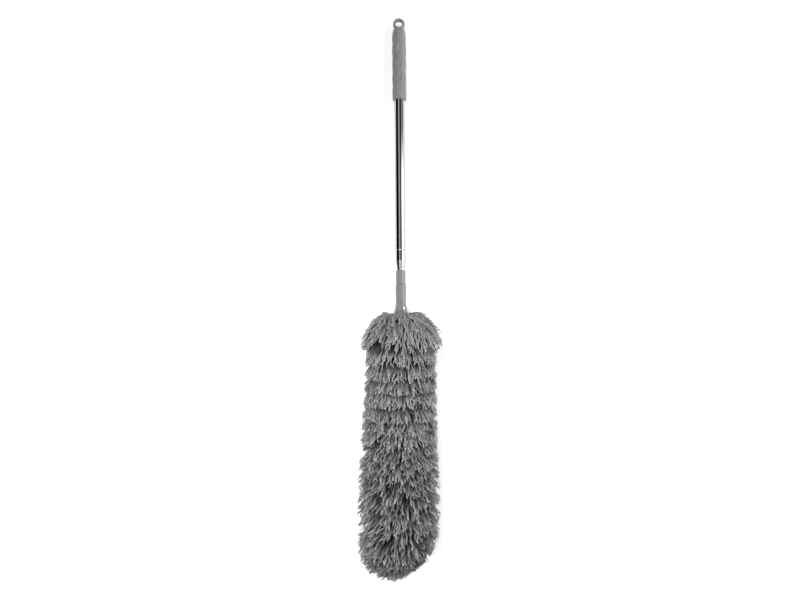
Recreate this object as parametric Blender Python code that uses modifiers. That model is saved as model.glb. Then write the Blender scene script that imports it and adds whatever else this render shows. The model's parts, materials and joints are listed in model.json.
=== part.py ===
"""Extendable duster: a telescopic steel pole with a grip, and a long head of microfibre strands.

The duster is modelled upright, as it hangs from its eye. The pole's axis is Z, and a place along it
is a depth, measured down from the end of the eye. The front, where the grip's dimples are, is -Y.
The empty pole_axis then lays the whole duster on the floor, on its grip and on the strands of its
head: the eye end points to +Y, the front faces up, and the axis rises a little towards the tip.
"""

import math
import random
from functools import partial

import bmesh
import bpy
from mathutils import Matrix, Vector

# Driving dimensions, in metres

TILT = math.radians(2.2)
SIDES = 24
SMOOTH_ANGLE = math.radians(40)
SEAT_GAP = 0.0003
PRESS_CLEARANCE = 0.0001

EYE_RADIUS = 0.0091
EYE_HOLE_RADIUS = 0.0054
EYE_TOP_WALL = 0.0031
EYE_THICKNESS = 0.007
EYE_EDGE = 0.0012
CAP_LENGTH = 0.0277
CAP_RADIUS = 0.0102
CAP_SHOULDER_RADIUS = 0.0074
CAP_DOME = 0.0142
CAP_STRAIGHT = 0.004
CAP_PLUG_LENGTH = 0.016

GRIP_LENGTH = 0.0992
GRIP_RADIUS = 0.01045
GRIP_WAVE = 0.00025
GRIP_WAVE_PITCH = 0.0221
GRIP_FIRST_CREST = 0.0214
GRIP_EDGE = 0.0006
DIMPLE_COUNT = 3
DIMPLE_FROM_CREST = 0.0016
DIMPLE_WIDTH = 0.0075
DIMPLE_HEIGHT = 0.0118
DIMPLE_DEPTH = 0.0007
DIMPLE_CUTTER_DEPTH = 0.0016

TUBE_RADIUS = 0.008
TUBE_LENGTH = 0.3465
TUBE_WALL = 0.00025
TUBE_GAP = 0.00015
MOUTH_PITCH = 0.00305
MOUTH_ROUND = 0.0001
LIP_LENGTH = 0.0012
LIP_CLEARANCE = 0.00005
CRIMP_FROM_MOUTH = 0.0165
CRIMP_WIDTH = 0.0012
CRIMP_DEPTH = 0.0001
SECTIONS = 6
LAST_TUBE_SHOWS = 0.0014

BUSH_CLEARANCE = 0.00005
BUSH_HEAD = 0.003
BUSH_SPIGOT = 0.0075
BUSH_HOLE = 0.0025
STACK_GAP = 0.0015

COLLAR_PLUG_LENGTH = 0.015
COLLAR_RIM_RADIUS = 0.0076
COLLAR_RIM_LENGTH = 0.0026
COLLAR_RADIUS = 0.0073
COLLAR_LENGTH = 0.0198
SPIGOT_RADIUS = 0.0052
SPIGOT_LENGTH = 0.0215
SPIGOT_CLEARANCE = 0.00015

NECK_RADIUS = 0.008
NECK_LENGTH = 0.0273
EDGE_ROUND = 0.0004
STUD_LENGTH = 0.0045
FLARE_RADIUS = 0.011
FLARE_LENGTH = 0.0185
FLARE_STRAIGHT = 0.004
FLARE_EDGE = 0.0012
TENON_RADIUS = 0.0055
TENON_LENGTH = 0.0155

CORE_RADIUS = 0.0075
CUFF_LENGTH = 0.0045
CUFF_RADIUS = 0.0098
CORE_CAP_LENGTH = 0.0096
CORE_CAP_SOCKET = 0.0055
CORE_CAP_WALL = 0.0033

PILE_TIERS = 16
TIER_PITCH = 0.0222
TUFTS_PER_TIER = 19
BACKING_RADIUS = 0.0105
BACKING_BORE_SIDES = 8
PILE_RADIUS = 0.0585
PILE_END_ROUND = 0.045
PILE_END_SHARE = 0.12
PILE_END_SLANT = 0.005
PILE_TOP_SAG = 0.16
TUFT_REACH = 0.050
TUFT_ELBOW = Vector((0.016, 0.034))
TUFT_SHOULDER = Vector((0.036, 0.0505))
TUFT_THICKNESS = 0.0076
TUFT_FILL = 0.7
TUFT_TURN = math.radians(2.2)
TUFT_SWAY = math.radians(2.5)
TUFT_SHORTEST = 0.6
FULL_LENGTH_BELOW = -0.85
FIRST_TIER_LIFTS = (1.0, 0.45, 0.15)
ELBOW_LIFT = 0.018
SHOULDER_LIFT = 0.018
TIP_LIFT = 0.006
TIP_DISC_RADIUS = 0.0075
TIP_DISC_LENGTH = 0.003
TIP_TUFTS = 12
TIP_TUFT_ELBOW = Vector((0.0055, 0.0145))
TIP_TUFT_SHOULDER = Vector((0.0105, 0.0185))
TIP_TUFT_END = Vector((0.0165, 0.0125))
TIP_TUFT_THICKNESS = 0.005
TIP_MIDDLE_TUFT = 0.012
FLOOR_CUT = 0.0005
PILE_SEED = 7
YARN_ROUGHNESS = 0.9

# Depths that follow from them

EYE_DEPTH = EYE_TOP_WALL + EYE_HOLE_RADIUS
HANDLE_START = CAP_LENGTH + SEAT_GAP
PLUG_END = CAP_LENGTH + CAP_PLUG_LENGTH
TUBE_STEP = TUBE_WALL + TUBE_GAP
BUSH_LENGTH = BUSH_HEAD + SEAT_GAP + BUSH_SPIGOT


def tube_radius(section):
    """Outer radius of a tube, counted from 1 at the grip."""
    return TUBE_RADIUS - (section - 1) * TUBE_STEP


def tube_bore(section):
    return tube_radius(section) - TUBE_WALL


def bush_start(section):
    """Depth of the guide bush that closes the rear end of an inner tube."""
    return PLUG_END + STACK_GAP + (section - 2) * (BUSH_LENGTH + STACK_GAP)


def tube_start(section):
    if section == 1:
        return HANDLE_START
    return bush_start(section) + BUSH_HEAD + SEAT_GAP


def tube_mouth(section):
    """Depth of a tube's front end. The last tube ends in the collar."""
    if section == SECTIONS:
        return tube_mouth(SECTIONS - 1) + LAST_TUBE_SHOWS
    return HANDLE_START + TUBE_LENGTH + (section - 1) * MOUTH_PITCH


COLLAR_START = tube_mouth(SECTIONS) - COLLAR_PLUG_LENGTH
RIM_START = tube_mouth(SECTIONS) + SEAT_GAP
NECK_START = RIM_START + COLLAR_LENGTH + SEAT_GAP
FLARE_START = NECK_START + NECK_LENGTH + SEAT_GAP
FLARE_END = FLARE_START + FLARE_LENGTH
CORE_START = FLARE_END + SEAT_GAP
PILE_START = CORE_START + CUFF_LENGTH + SEAT_GAP
BACKING_END = PILE_START + PILE_TIERS * TIER_PITCH
CORE_CAP_START = BACKING_END - CORE_CAP_LENGTH
PILE_END = PILE_START + (PILE_TIERS - 1) * TIER_PITCH + TUFT_REACH


def grip_radius(depth):
    """Radius of the grip at a depth below its own top, with its shallow waves."""
    turn = math.tau * (depth - GRIP_FIRST_CREST) / GRIP_WAVE_PITCH
    return GRIP_RADIUS + GRIP_WAVE * math.cos(turn)


def grip_outline():
    """Outer side of the grip as (depth, radius), with a small edge at each end."""
    steps = round(4 * GRIP_LENGTH / GRIP_WAVE_PITCH)
    run = GRIP_LENGTH - 2 * GRIP_EDGE
    outline = [(0, grip_radius(0) - GRIP_EDGE)]
    for step in range(steps + 1):
        depth = GRIP_EDGE + run * step / steps
        outline.append((depth, grip_radius(depth)))
    outline.append((GRIP_LENGTH, grip_radius(GRIP_LENGTH) - GRIP_EDGE))
    return outline


def resting_height():
    """Height of the axis at the eye's end when the grip's lowest line lies on the floor."""
    flat = math.cos(math.pi / SIDES)
    return max(
        radius * flat * math.cos(TILT) - (HANDLE_START + depth) * math.sin(TILT)
        for depth, radius in grip_outline()
    )


EYE_END_HEIGHT = resting_height()

# Collections, finishes and placing


def clear_scene():
    for obj in list(bpy.data.objects):
        bpy.data.objects.remove(obj, do_unlink=True)


def new_collection(name):
    collection = bpy.data.collections.new(name)
    bpy.context.scene.collection.children.link(collection)
    return collection


def finish(name, colour, roughness, metallic=0.0):
    material = bpy.data.materials.new(name)
    material.use_nodes = True
    shader = material.node_tree.nodes["Principled BSDF"]
    shader.inputs["Base Color"].default_value = (*colour, 1.0)
    shader.inputs["Roughness"].default_value = roughness
    shader.inputs["Metallic"].default_value = metallic
    return material


def new_empty(name, parent=None):
    """An empty on the pole's axis at the eye's end, which carries the pieces of one body."""
    empty = bpy.data.objects.new(name, None)
    empty.empty_display_size = 0.03
    empty.parent = parent
    DUSTER.objects.link(empty)
    return empty


def place(obj, body, depth, material):
    """Put a piece on the axis at its depth, under the empty of its body."""
    obj.parent = body
    obj.location.z = -depth
    obj.data.materials.append(material)
    return obj


def boolean(obj, other, operation="DIFFERENCE"):
    modifier = obj.modifiers.new(other.name, "BOOLEAN")
    modifier.operation = operation
    modifier.solver = "EXACT"
    modifier.object = other


# Shapes


def object_from(bm, name):
    mesh = bpy.data.meshes.new(name)
    bm.to_mesh(mesh)
    bm.free()
    obj = bpy.data.objects.new(name, mesh)
    DUSTER.objects.link(obj)
    return obj


def cutter_from(bm, name, body, depth):
    """A guide shape for a Boolean, kept in the cutters' collection."""
    cutter = object_from(bm, name)
    DUSTER.objects.unlink(cutter)
    CUTTERS.objects.link(cutter)
    cutter.parent = body
    cutter.location.z = -depth
    cutter.hide_render = True
    cutter.display_type = "WIRE"
    return cutter


def turned(name, outline, sides=SIDES):
    """A turned solid from (depth, radius) points, down its outer side and back up its bore.

    An outline that starts on the axis also ends there. Any other is closed to a ring. A flat side
    faces the floor.
    """
    bm = bmesh.new()
    verts = [bm.verts.new((radius, 0, -depth)) for depth, radius in outline]
    for upper, lower in zip(verts, verts[1:]):
        bm.edges.new((upper, lower))
    if outline[0][1] > 0:
        bm.edges.new((verts[-1], verts[0]))
    profile = object_from(bm, name + "_profile")
    screw = profile.modifiers.new("Turn", "SCREW")
    screw.steps = sides
    screw.render_steps = sides
    screw.use_merge_vertices = True
    screw.merge_threshold = 0.00001
    graph = bpy.context.evaluated_depsgraph_get()
    mesh = bpy.data.meshes.new_from_object(profile.evaluated_get(graph))
    bpy.data.objects.remove(profile)
    mesh.name = name
    mesh.transform(Matrix.Rotation(math.pi / sides, 4, "Z"))
    mesh.shade_smooth()
    mesh.set_sharp_from_angle(angle=SMOOTH_ANGLE)
    obj = bpy.data.objects.new(name, mesh)
    DUSTER.objects.link(obj)
    return obj


def front_to_back_cylinder(radius, length):
    bm = bmesh.new()
    bmesh.ops.create_cone(
        bm, cap_ends=True, segments=SIDES, radius1=radius, radius2=radius, depth=length
    )
    quarter_turn = Matrix.Rotation(math.pi / 2, 4, "X")
    bmesh.ops.transform(bm, matrix=quarter_turn, verts=bm.verts)
    return bm


# Handle: cap with the hanging eye, grip and outer tube


def cap_outline():
    """Dome under the eye, its straight skirt, and the plug inside the outer tube."""
    top = CAP_LENGTH - CAP_DOME
    run = CAP_DOME - CAP_STRAIGHT
    rise = CAP_RADIUS - CAP_SHOULDER_RADIUS
    steps = 4
    outline = [(top, 0)]
    for step in range(steps + 1):
        turn = math.pi / 2 * step / steps
        depth = top + run * (1 - math.cos(turn))
        outline.append((depth, CAP_SHOULDER_RADIUS + rise * math.sin(turn)))
    plug_radius = tube_bore(1) - PRESS_CLEARANCE
    outline += [(CAP_LENGTH, CAP_RADIUS), (CAP_LENGTH, plug_radius), (PLUG_END, plug_radius)]
    outline.append((PLUG_END, 0))
    return outline


def hanging_cap(body):
    cap = place(turned("hanging_cap", cap_outline()), body, 0, GREY_PLASTIC)
    eye_plate = front_to_back_cylinder(EYE_RADIUS, EYE_THICKNESS)
    rims = [edge for edge in eye_plate.edges if abs(edge.calc_face_angle(0)) > math.pi / 4]
    bmesh.ops.bevel(eye_plate, geom=rims, offset=EYE_EDGE, segments=2, profile=0.5, affect="EDGES")
    hole = front_to_back_cylinder(EYE_HOLE_RADIUS, 3 * EYE_THICKNESS)
    boolean(cap, cutter_from(eye_plate, "eye_plate", body, EYE_RADIUS), "UNION")
    boolean(cap, cutter_from(hole, "eye_hole", body, EYE_DEPTH))


def dimple_cutter(body, depth):
    """An upright oval that dips into the front of the grip."""
    chord = math.sqrt(1 - (1 - DIMPLE_DEPTH / DIMPLE_CUTTER_DEPTH) ** 2)
    size = Vector((DIMPLE_WIDTH, 2 * DIMPLE_CUTTER_DEPTH * chord, DIMPLE_HEIGHT)) / chord
    bm = bmesh.new()
    bmesh.ops.create_uvsphere(bm, u_segments=12, v_segments=8, radius=0.5)
    bmesh.ops.scale(bm, vec=size, verts=bm.verts)
    crest = grip_radius(depth - HANDLE_START) * math.cos(math.pi / SIDES)
    middle = crest - DIMPLE_DEPTH + DIMPLE_CUTTER_DEPTH
    bmesh.ops.translate(bm, vec=(0, -middle, 0), verts=bm.verts)
    return cutter_from(bm, "dimple", body, depth)


def grip_sleeve(body):
    bore = TUBE_RADIUS + PRESS_CLEARANCE
    outline = grip_outline() + [(GRIP_LENGTH, bore), (0, bore)]
    grip = place(turned("grip_sleeve", outline), body, HANDLE_START, SOFT_GRIP)
    first = HANDLE_START + GRIP_FIRST_CREST + DIMPLE_FROM_CREST
    for number in range(DIMPLE_COUNT):
        boolean(grip, dimple_cutter(body, first + number * GRIP_WAVE_PITCH))


# Telescopic sections


def tube_outline(section):
    """One tube: a crimp on the outermost, and a lip inside each mouth that keeps the next tube in."""
    outer = tube_radius(section)
    bore = tube_bore(section)
    length = tube_mouth(section) - tube_start(section)
    outline = [(0, outer)]
    if section == 1:
        crimp = length - CRIMP_FROM_MOUTH
        outline += [
            (crimp - CRIMP_WIDTH / 2, outer),
            (crimp, outer - CRIMP_DEPTH),
            (crimp + CRIMP_WIDTH / 2, outer),
        ]
    outline += [(length - MOUTH_ROUND, outer), (length, outer - MOUTH_ROUND)]
    if section < SECTIONS:
        lip = tube_radius(section + 1) + LIP_CLEARANCE
        outline += [(length, lip), (length - LIP_LENGTH, lip), (length - LIP_LENGTH, bore)]
    else:
        outline.append((length, bore))
    outline.append((0, bore))
    return outline


def pole_tube(section, body):
    tube = turned(f"pole_tube_{section}", tube_outline(section))
    place(tube, body, tube_start(section), POLISHED_STEEL)


def guide_bush(section, body):
    """The plug in an inner tube's rear end. Its head slides in the next tube out and stops at the lip."""
    head = tube_bore(section - 1) - BUSH_CLEARANCE
    spigot = tube_bore(section) - PRESS_CLEARANCE
    outline = [
        (0, head),
        (BUSH_HEAD, head),
        (BUSH_HEAD, spigot),
        (BUSH_LENGTH, spigot),
        (BUSH_LENGTH, BUSH_HOLE),
        (0, BUSH_HOLE),
    ]
    bush = turned(f"guide_bush_{section}", outline)
    place(bush, body, bush_start(section), BUSH_PLASTIC)


def tip_collar(body):
    """The pole's front end: a plug in the last tube, the rimmed collar, and the spigot of the head."""
    plug = tube_bore(SECTIONS) - PRESS_CLEARANCE
    rim = RIM_START - COLLAR_START
    rim_end = rim + COLLAR_RIM_LENGTH
    end = rim + COLLAR_LENGTH
    tip = end + SPIGOT_LENGTH
    outline = [
        (0, 0),
        (0, plug),
        (rim, plug),
        (rim, COLLAR_RIM_RADIUS),
        (rim_end, COLLAR_RIM_RADIUS),
        (rim_end, COLLAR_RADIUS),
        (end, COLLAR_RADIUS),
        (end, SPIGOT_RADIUS),
        (tip - EDGE_ROUND, SPIGOT_RADIUS),
        (tip, SPIGOT_RADIUS - EDGE_ROUND),
        (tip, 0),
    ]
    place(turned("tip_collar", outline), body, COLLAR_START, GREY_PLASTIC)


# Head: neck, flare, core and cuff


def neck_socket(body):
    """The sleeve that the spigot of the pole is pushed into. It also takes the flare's stud."""
    bore = SPIGOT_RADIUS + SPIGOT_CLEARANCE
    outline = [
        (0, NECK_RADIUS - EDGE_ROUND),
        (EDGE_ROUND, NECK_RADIUS),
        (NECK_LENGTH, NECK_RADIUS),
        (NECK_LENGTH, bore),
        (0, bore),
    ]
    place(turned("neck_socket", outline), body, NECK_START, GREY_PLASTIC)


def head_flare(body):
    """The bell that holds the core, with a stud in the neck and a socket for the core's tenon."""
    stud = SPIGOT_RADIUS + SPIGOT_CLEARANCE - PRESS_CLEARANCE
    back = STUD_LENGTH
    end = back + FLARE_LENGTH
    run = FLARE_LENGTH - FLARE_STRAIGHT - FLARE_EDGE
    rise = FLARE_RADIUS - NECK_RADIUS
    socket = TENON_RADIUS + PRESS_CLEARANCE
    steps = 5
    outline = [(0, 0), (0, stud), (back, stud), (back, NECK_RADIUS)]
    for step in range(steps + 1):
        share = step / steps
        outline.append((back + FLARE_STRAIGHT + run * share, NECK_RADIUS + rise * share**2))
    outline += [
        (end, FLARE_RADIUS - FLARE_EDGE),
        (end, socket),
        (end - TENON_LENGTH - SEAT_GAP, socket),
        (end - TENON_LENGTH - SEAT_GAP, 0),
    ]
    place(turned("head_flare", outline), body, FLARE_START - STUD_LENGTH, GREY_PLASTIC)


def core_rod(body):
    """The stiff rod inside the pile, with a tenon at each end."""
    start = CORE_START - TENON_LENGTH
    shoulder = CORE_START - start
    far_shoulder = CORE_CAP_START - SEAT_GAP - start
    outline = [
        (0, 0),
        (0, TENON_RADIUS),
        (shoulder, TENON_RADIUS),
        (shoulder, CORE_RADIUS),
        (far_shoulder, CORE_RADIUS),
        (far_shoulder, TENON_RADIUS),
        (far_shoulder + CORE_CAP_SOCKET, TENON_RADIUS),
        (far_shoulder + CORE_CAP_SOCKET, 0),
    ]
    place(turned("core_rod", outline), body, start, CORE_PLASTIC)


def core_cap(body):
    """The round cap that keeps the strands' backing on the core."""
    bore = TENON_RADIUS + PRESS_CLEARANCE
    dome_start = CORE_CAP_LENGTH - CORE_CAP_WALL - EDGE_ROUND
    outline = [(CORE_CAP_SOCKET, 0), (CORE_CAP_SOCKET, bore), (0, bore), (0, CORE_RADIUS)]
    steps = 3
    for step in range(steps + 1):
        turn = math.pi / 2 * step / steps
        depth = dome_start + (CORE_CAP_LENGTH - dome_start) * math.sin(turn)
        outline.append((depth, CORE_RADIUS * math.cos(turn) if step < steps else 0))
    place(turned("core_cap", outline), body, CORE_CAP_START, CORE_PLASTIC)


def sleeve_cuff(body):
    """The hem that holds the strands' backing against the flare."""
    bore = CORE_RADIUS + SEAT_GAP
    bulge = CUFF_RADIUS - EDGE_ROUND
    outline = [
        (0, bulge),
        (CUFF_LENGTH / 2, CUFF_RADIUS),
        (CUFF_LENGTH, bulge),
        (CUFF_LENGTH, bore),
        (0, bore),
    ]
    place(turned("sleeve_cuff", outline), body, CORE_START, CUFF_FABRIC)


# Pile: tiers of strands on slices of their backing


def upward(azimuth):
    """How far a direction round the axis points up: 1 at the front, -1 towards the floor."""
    return -math.sin(azimuth)


def pile_limit(depth, azimuth):
    """Radius of the pile in one direction: sagging on top, round at the tip, flat on the floor."""
    slant = PILE_END_SLANT * math.cos(azimuth)
    past = max(0.0, depth + slant - PILE_END + PILE_END_ROUND) / PILE_END_ROUND
    limit = PILE_RADIUS * math.sqrt(max(PILE_END_SHARE**2, 1 - past**2))
    up = upward(azimuth)
    if up > 0:
        return limit * (1 - PILE_TOP_SAG * up**2)
    if up < 0:
        height = EYE_END_HEIGHT + depth * math.sin(TILT) + FLOOR_CUT
        return min(limit, height / (-up * math.cos(TILT)))
    return limit


def tuft_curve(tier, length):
    """Root, elbow, shoulder and tip of a tuft as (depth below its tier, radius)."""
    lift = FIRST_TIER_LIFTS[tier] if tier < len(FIRST_TIER_LIFTS) else 0.0
    root = Vector((TIER_PITCH / 2, BACKING_RADIUS))
    elbow = TUFT_ELBOW - Vector((ELBOW_LIFT * lift, 0))
    shoulder = TUFT_SHOULDER - Vector((SHOULDER_LIFT * lift, 0))
    tip = Vector((TUFT_REACH - TIP_LIFT * lift, PILE_RADIUS))
    return [root, elbow, shoulder, shoulder.lerp(tip, length)]


def drawn_in(curve, top, azimuth):
    """A tuft's curve and its thicknesses, all but its root drawn in to the pile's limit."""
    shares = [1.0] + [pile_limit(top + point.x, azimuth) / PILE_RADIUS for point in curve[1:]]
    drawn = [Vector((depth, radius * share)) for (depth, radius), share in zip(curve, shares)]
    return drawn, [TUFT_THICKNESS * share for share in shares]


def tip_curve(azimuth):
    """The curve and thicknesses of a tuft on the backing's closed end, alike all round."""
    root = Vector((TIP_DISC_LENGTH / 2, TIP_DISC_RADIUS))
    curve = [root, TIP_TUFT_ELBOW, TIP_TUFT_SHOULDER, TIP_TUFT_END]
    return curve, [TIP_TUFT_THICKNESS] * len(curve)


def turned_point(depth, radius, azimuth):
    """A point round the axis, in the space of its own slice."""
    return Vector((radius * math.cos(azimuth), radius * math.sin(azimuth), -depth))


def section_corner(curve, thicknesses, step, azimuth, end):
    """A corner of a tuft's section, above or below its curve and square to it."""
    along = (curve[step + 1] - curve[step - 1]).normalized()
    outward = Vector((-along.y, along.x))
    depth, radius = curve[step] + outward * end * thicknesses[step] / 2
    return turned_point(depth, radius, azimuth)


def grow_tuft(bm, root_face, curve_at, azimuth, sway, half_turn):
    """Draw one tuft out of a face of the backing: two sections of four corners, then a point."""
    centre = root_face.calc_center_median()
    across = Vector((-centre.y, centre.x, 0))
    corners = [
        (math.copysign(1, across.dot(vert.co)), math.copysign(1, vert.co.z - centre.z))
        for vert in root_face.verts
    ]
    face = root_face
    for step in (1, 2):
        face = bmesh.ops.extrude_discrete_faces(bm, faces=[face])["faces"][0]
        for vert, (side, end) in zip(face.verts, corners):
            turn = azimuth + side * half_turn
            curve, thicknesses = curve_at(turn)
            vert.co = section_corner(curve, thicknesses, step, turn, end)
    poked = bmesh.ops.poke(bm, faces=[face])
    depth, radius = curve_at(azimuth + sway)[0][-1]
    poked["verts"][0].co = turned_point(depth, radius, azimuth + sway)


def backing_slice(radius, length, sides):
    """A round slice of the backing below its own origin, and its side faces in order."""
    bm = bmesh.new()
    bmesh.ops.create_cone(
        bm, cap_ends=True, segments=sides, radius1=radius, radius2=radius, depth=length
    )
    bmesh.ops.translate(bm, vec=(0, 0, -length / 2), verts=bm.verts)
    side_faces = [face for face in bm.faces if abs(face.normal.z) < 0.5]
    side_faces.sort(key=lambda face: math.atan2(face.normal.y, face.normal.x))
    return bm, side_faces


def yarn(name, share):
    """The finish of one skirt of strands, a little darker towards the tip of the head."""
    return finish(name + "_yarn", PILE_TOP_COLOUR.lerp(PILE_TIP_COLOUR, share), YARN_ROUGHNESS)


def pile_tier(tier, body, bore_cutter, floor_cutter):
    """A slice of the backing with one skirt of tufts. Each second tier is turned by half a tuft."""
    picks = random.Random(PILE_SEED + tier)
    top = PILE_START + tier * TIER_PITCH
    half_turn = TUFT_FILL * math.pi / TUFTS_PER_TIER
    bm, side_faces = backing_slice(BACKING_RADIUS, TIER_PITCH - SEAT_GAP, 2 * TUFTS_PER_TIER)
    for root_face in side_faces[tier % 2 :: 2]:
        azimuth = math.atan2(root_face.normal.y, root_face.normal.x)
        carries = upward(azimuth) < FULL_LENGTH_BELOW
        length = 1.0 if carries else picks.uniform(TUFT_SHORTEST, 1.0)
        turn = picks.uniform(-TUFT_TURN, TUFT_TURN)
        sway = picks.uniform(-TUFT_SWAY, TUFT_SWAY)
        curve = tuft_curve(tier, length)
        curve_at = partial(drawn_in, curve, top)
        grow_tuft(bm, root_face, curve_at, azimuth + turn, sway, half_turn)
    name = f"pile_tier_{tier + 1:02d}"
    skirt = place(object_from(bm, name), body, top, yarn(name, tier / (PILE_TIERS - 1)))
    boolean(skirt, bore_cutter)
    boolean(skirt, floor_cutter)


def pile_tip(body):
    """The closed end of the backing, with a ring of short tufts and one in the middle."""
    bm, side_faces = backing_slice(TIP_DISC_RADIUS, TIP_DISC_LENGTH, TIP_TUFTS)
    end_face = min(bm.faces, key=lambda face: face.normal.z)
    middle = bmesh.ops.poke(bm, faces=[end_face])["verts"][0]
    middle.co.z -= TIP_MIDDLE_TUFT
    half_turn = TUFT_FILL * math.pi / TIP_TUFTS
    for root_face in side_faces:
        azimuth = math.atan2(root_face.normal.y, root_face.normal.x)
        grow_tuft(bm, root_face, tip_curve, azimuth, 0.0, half_turn)
    place(object_from(bm, "pile_tip"), body, BACKING_END + SEAT_GAP, yarn("pile_tip", 1.0))


def pile(body):
    bore = (CORE_RADIUS + SEAT_GAP) / math.cos(math.pi / BACKING_BORE_SIDES)
    length = PILE_TIERS * TIER_PITCH
    bm = bmesh.new()
    bmesh.ops.create_cone(
        bm, cap_ends=True, segments=BACKING_BORE_SIDES, radius1=bore, radius2=bore, depth=2 * length
    )
    bore_cutter = cutter_from(bm, "backing_bore", body, PILE_START + length / 2)
    bm = bmesh.new()
    bmesh.ops.create_cube(bm, size=2 * PILE_END)
    bmesh.ops.translate(bm, vec=(0, 0, -PILE_END), verts=bm.verts)
    floor_cutter = cutter_from(bm, "floor_level", None, 0)
    for tier in range(PILE_TIERS):
        pile_tier(tier, body, bore_cutter, floor_cutter)
    pile_tip(body)


def centre_on_floor(pole_axis):
    """Move the resting duster so that the middle of its outline on the floor is the origin."""
    bpy.context.view_layer.update()
    graph = bpy.context.evaluated_depsgraph_get()
    points = []
    for obj in DUSTER.objects:
        if obj.type == "MESH":
            placed = obj.evaluated_get(graph)
            points += [placed.matrix_world @ vert.co for vert in placed.data.vertices]
    for axis in (0, 1):
        places = [point[axis] for point in points]
        pole_axis.location[axis] -= (min(places) + max(places)) / 2


clear_scene()
DUSTER = new_collection("Extendable duster")
CUTTERS = new_collection("Cutters")
SOFT_GRIP = finish("soft_grip", (0.23, 0.235, 0.25), 0.5)
POLISHED_STEEL = finish("polished_steel", (0.72, 0.72, 0.71), 0.12, 1.0)
GREY_PLASTIC = finish("grey_plastic", (0.24, 0.245, 0.26), 0.35)
BUSH_PLASTIC = finish("bush_plastic", (0.75, 0.75, 0.72), 0.4)
CORE_PLASTIC = finish("core_plastic", (0.08, 0.08, 0.085), 0.5)
CUFF_FABRIC = finish("cuff_fabric", (0.10, 0.10, 0.105), 0.9)
PILE_TOP_COLOUR = Vector((0.20, 0.20, 0.205))
PILE_TIP_COLOUR = Vector((0.125, 0.12, 0.125))

pole_axis = new_empty("pole_axis")
pole_axis.location.z = EYE_END_HEIGHT
pole_axis.rotation_euler.x = -math.pi / 2 - TILT
handle = new_empty("handle", pole_axis)
hanging_cap(handle)
grip_sleeve(handle)
pole_tube(1, handle)
carrier = handle
for section in range(2, SECTIONS + 1):
    carrier = new_empty(f"section_{section}", carrier)
    guide_bush(section, carrier)
    pole_tube(section, carrier)
tip_collar(carrier)
head = new_empty("head", carrier)
neck_socket(head)
head_flare(head)
core_rod(head)
core_cap(head)
sleeve_cuff(head)
pile(head)
centre_on_floor(pole_axis)
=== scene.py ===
"""Looks of an extendable duster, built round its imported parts.

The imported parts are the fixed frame: every new piece takes its place and its main sizes from them.
The pieces of the pole are modelled upright, ring by ring round the Z axis, with a place along the
pole given as a depth below the end of the hanging eye, and are then laid down on the pole's axis.
The head is grown as separate lengths of yarn, in overlapping skirts. All lengths are in metres.
"""
import json
import logging
import math
from contextlib import contextmanager
from dataclasses import dataclass, fields
from enum import Enum
from typing import Callable, Iterator, Sequence

import bpy
import numpy as np
from mathutils import Matrix, Vector


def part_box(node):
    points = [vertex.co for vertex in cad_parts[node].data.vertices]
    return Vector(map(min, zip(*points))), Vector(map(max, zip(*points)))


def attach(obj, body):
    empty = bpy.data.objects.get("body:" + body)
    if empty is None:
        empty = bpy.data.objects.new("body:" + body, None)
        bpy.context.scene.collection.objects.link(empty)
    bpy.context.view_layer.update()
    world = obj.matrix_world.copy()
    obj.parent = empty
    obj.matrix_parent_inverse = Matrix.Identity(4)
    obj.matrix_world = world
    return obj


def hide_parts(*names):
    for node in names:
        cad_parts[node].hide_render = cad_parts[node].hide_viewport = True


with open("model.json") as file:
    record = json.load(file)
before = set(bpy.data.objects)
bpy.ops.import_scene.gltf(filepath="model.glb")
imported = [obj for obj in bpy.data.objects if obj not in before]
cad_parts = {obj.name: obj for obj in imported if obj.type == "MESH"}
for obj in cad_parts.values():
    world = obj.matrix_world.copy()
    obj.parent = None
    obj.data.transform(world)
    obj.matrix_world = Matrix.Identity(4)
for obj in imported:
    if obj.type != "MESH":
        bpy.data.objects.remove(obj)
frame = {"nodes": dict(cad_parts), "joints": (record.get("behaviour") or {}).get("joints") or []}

log = logging.getLogger("duster")

Colour = tuple[float, float, float]
Point = tuple[float, float]
Points = tuple[Point, ...]
Array = np.ndarray
Piece = bpy.types.Object
Material = bpy.types.Material
NodeTree = bpy.types.NodeTree
Socket = bpy.types.NodeSocket

TUBES = 6
SMOOTH_ANGLE = math.radians(35)
SIDES = 96
ROUND_STEPS = 4
WELD = 0.000002
NEARLY_NONE = 0.001
BAKE_INSET = 0.04
NOISE_RANGE = (0.3, 0.7)
UP = Vector((0, 0, 1))
WHITE = (1, 1, 1, 1)


class Slot(Enum):
    """The record's material slots."""

    GREY_PLASTIC = "grey_plastic"
    SOFT_GRIP = "soft_grip"
    POLISHED_STEEL = "polished_steel"
    BUSH_PLASTIC = "bush_plastic"
    CORE_PLASTIC = "core_plastic"
    CUFF_FABRIC = "cuff_fabric"
    MICROFIBRE = "microfibre"


# The pole's axis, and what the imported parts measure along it


@dataclass(frozen=True)
class Extent:
    """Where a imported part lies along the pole, and how far it reaches from the axis."""

    start: float
    end: float
    radius: float


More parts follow.
